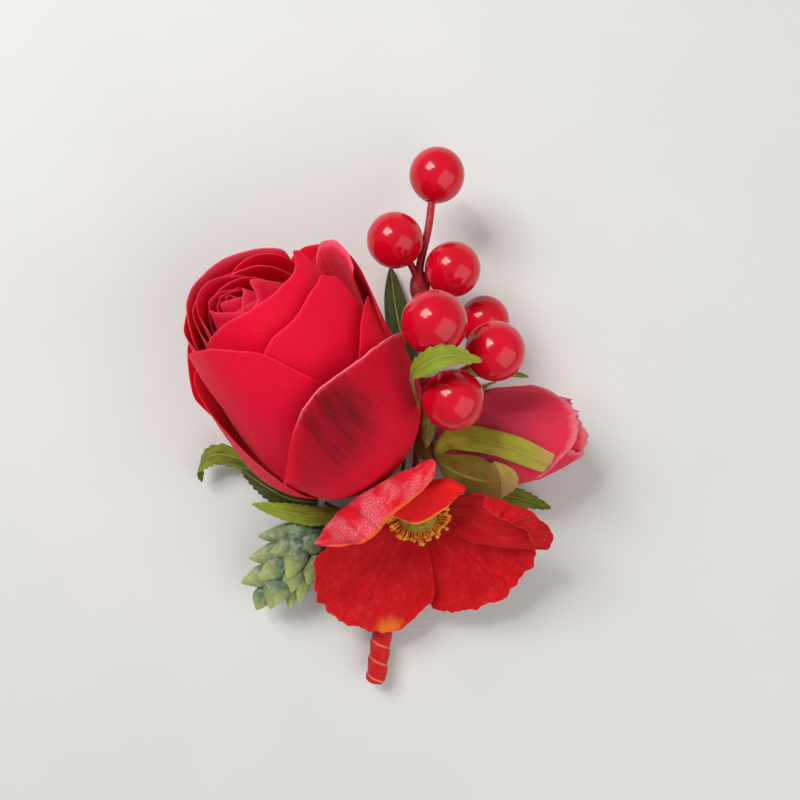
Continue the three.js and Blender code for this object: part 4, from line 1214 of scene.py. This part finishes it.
LEAFLETS = [
    ((-18.4, -30, 7.6), (-31.6, -31.2, 7.4), 4.4), ((-22, -34, 8.4), (-33.6, -36, 8.2), 5.0),
    ((-26.4, -38.4, 8.2), (-35.6, -41.4, 8.6), 4.4), ((-27.6, -38, 8.6), (-29.4, -47, 8.4), 4.6),
    ((-30, -42, 7.4), (-32.8, -47.8, 7), 4.0), ((-21.4, -30, 9.6), (-25, -39.6, 11), 5.0),
    ((-23.4, -35.4, 8.4), (-24.8, -43.2, 9.6), 4.8), ((-24.4, -37.6, 7.4), (-25.2, -47.6, 7.4), 3.0),
    ((-20.8, -33.4, 7.6), (-21.4, -43, 8), 3.4), ((-17.4, -30.4, 9), (-22.4, -34.4, 10.6), 4.6),
    ((-19.4, -32, 6.8), (-30, -34.6, 5), 4.6), ((-24, -36.4, 6.8), (-31.4, -39.6, 4.6), 4.6),
    ((-17.6, -31, 8), (-18.2, -38.4, 7.4), 3.6), ((-22.6, -34.6, 7), (-23.4, -42.4, 4.8), 4.4),
    ((-27.4, -40.6, 6.8), (-29, -46, 4.8), 4.0), ((-16.6, -29.4, 8.8), (-26, -29.4, 9.8), 4.2),
    ((-20, -31.5, 9.4), (-28.8, -34.4, 10.4), 4.4), ((-24.5, -35.5, 9.2), (-31.6, -40.2, 10.2), 4.4),
    ((-18.5, -33.5, 9), (-20.6, -41.4, 10), 4.2), ((-25.5, -39.5, 8.6), (-28, -46, 9.6), 3.8),
    ((-21.5, -37, 8.2), (-22.8, -45.8, 8.6), 3.2), ((-16, -31.4, 7), (-16.6, -37.4, 7), 3.6),
]
bm = new_bm()
bar(bm, [(-14.4, -30.4, 9), (-19.6, -31.8, 8.4), (-25, -36.6, 8), (-29.6, -42.6, 7.8)], 1.6, 14, 40)
for number, (root, tip, width) in enumerate(LEAFLETS):
    root, tip = Vector(root), Vector(tip)
    lie = (tip - root).normalized()
    side = lie.cross(Vector((0, 0, 1))).normalized()
    over = side.cross(lie)
    length = (tip - root).length

    def plump(s, t):
        body = math.sin(math.pi * t ** 1.05) ** 0.8 if 0.0 < t < 1.0 else 0.0
        turn = 2.0 * math.pi * s
        flat, high = math.cos(turn), math.sin(turn)
        keel = 0.07 * math.exp(-(flat / 0.22) ** 2) * (1.0 if high > 0 else 0.0)
        lump = 1.0 + 0.07 * noise.noise(Vector((flat * 1.3, high * 1.3 + number * 5.0, t * 3.0)))
        arch = 0.5 * math.sin(math.pi * t)
        return (root + lie * (length * (t * 1.06 - 0.04 + 0.06 * smooth(t, 0.8, 1.0)))
                + side * (flat * body * width * 0.58 * lump)
                + over * (high * body * width * (0.32 + keel) * lump + arch))

    rolled(bm, 24, 30, plump)
add_piece(bm, "succulent_leaflets", ["succulent_sprig"], "succulent", bloom)
print("leaflets", len(LEAFLETS))

# %% [markdown]
# ## The floor's finish and the end
# The floor is a plain pale table with the faintest grain.

# %% Floor finish
floor_finish, tree, shader = finish("studio floor", 0.85, Specular_IOR_Level=0.2)
grain = noise_node(tree, object_place(tree), 30.0)
tree.links.new(mixed(tree, grain, linear(206, 205, 202), linear(213, 212, 209)),
               shader.inputs["Base Color"])
floor_mesh.materials.append(floor_finish)
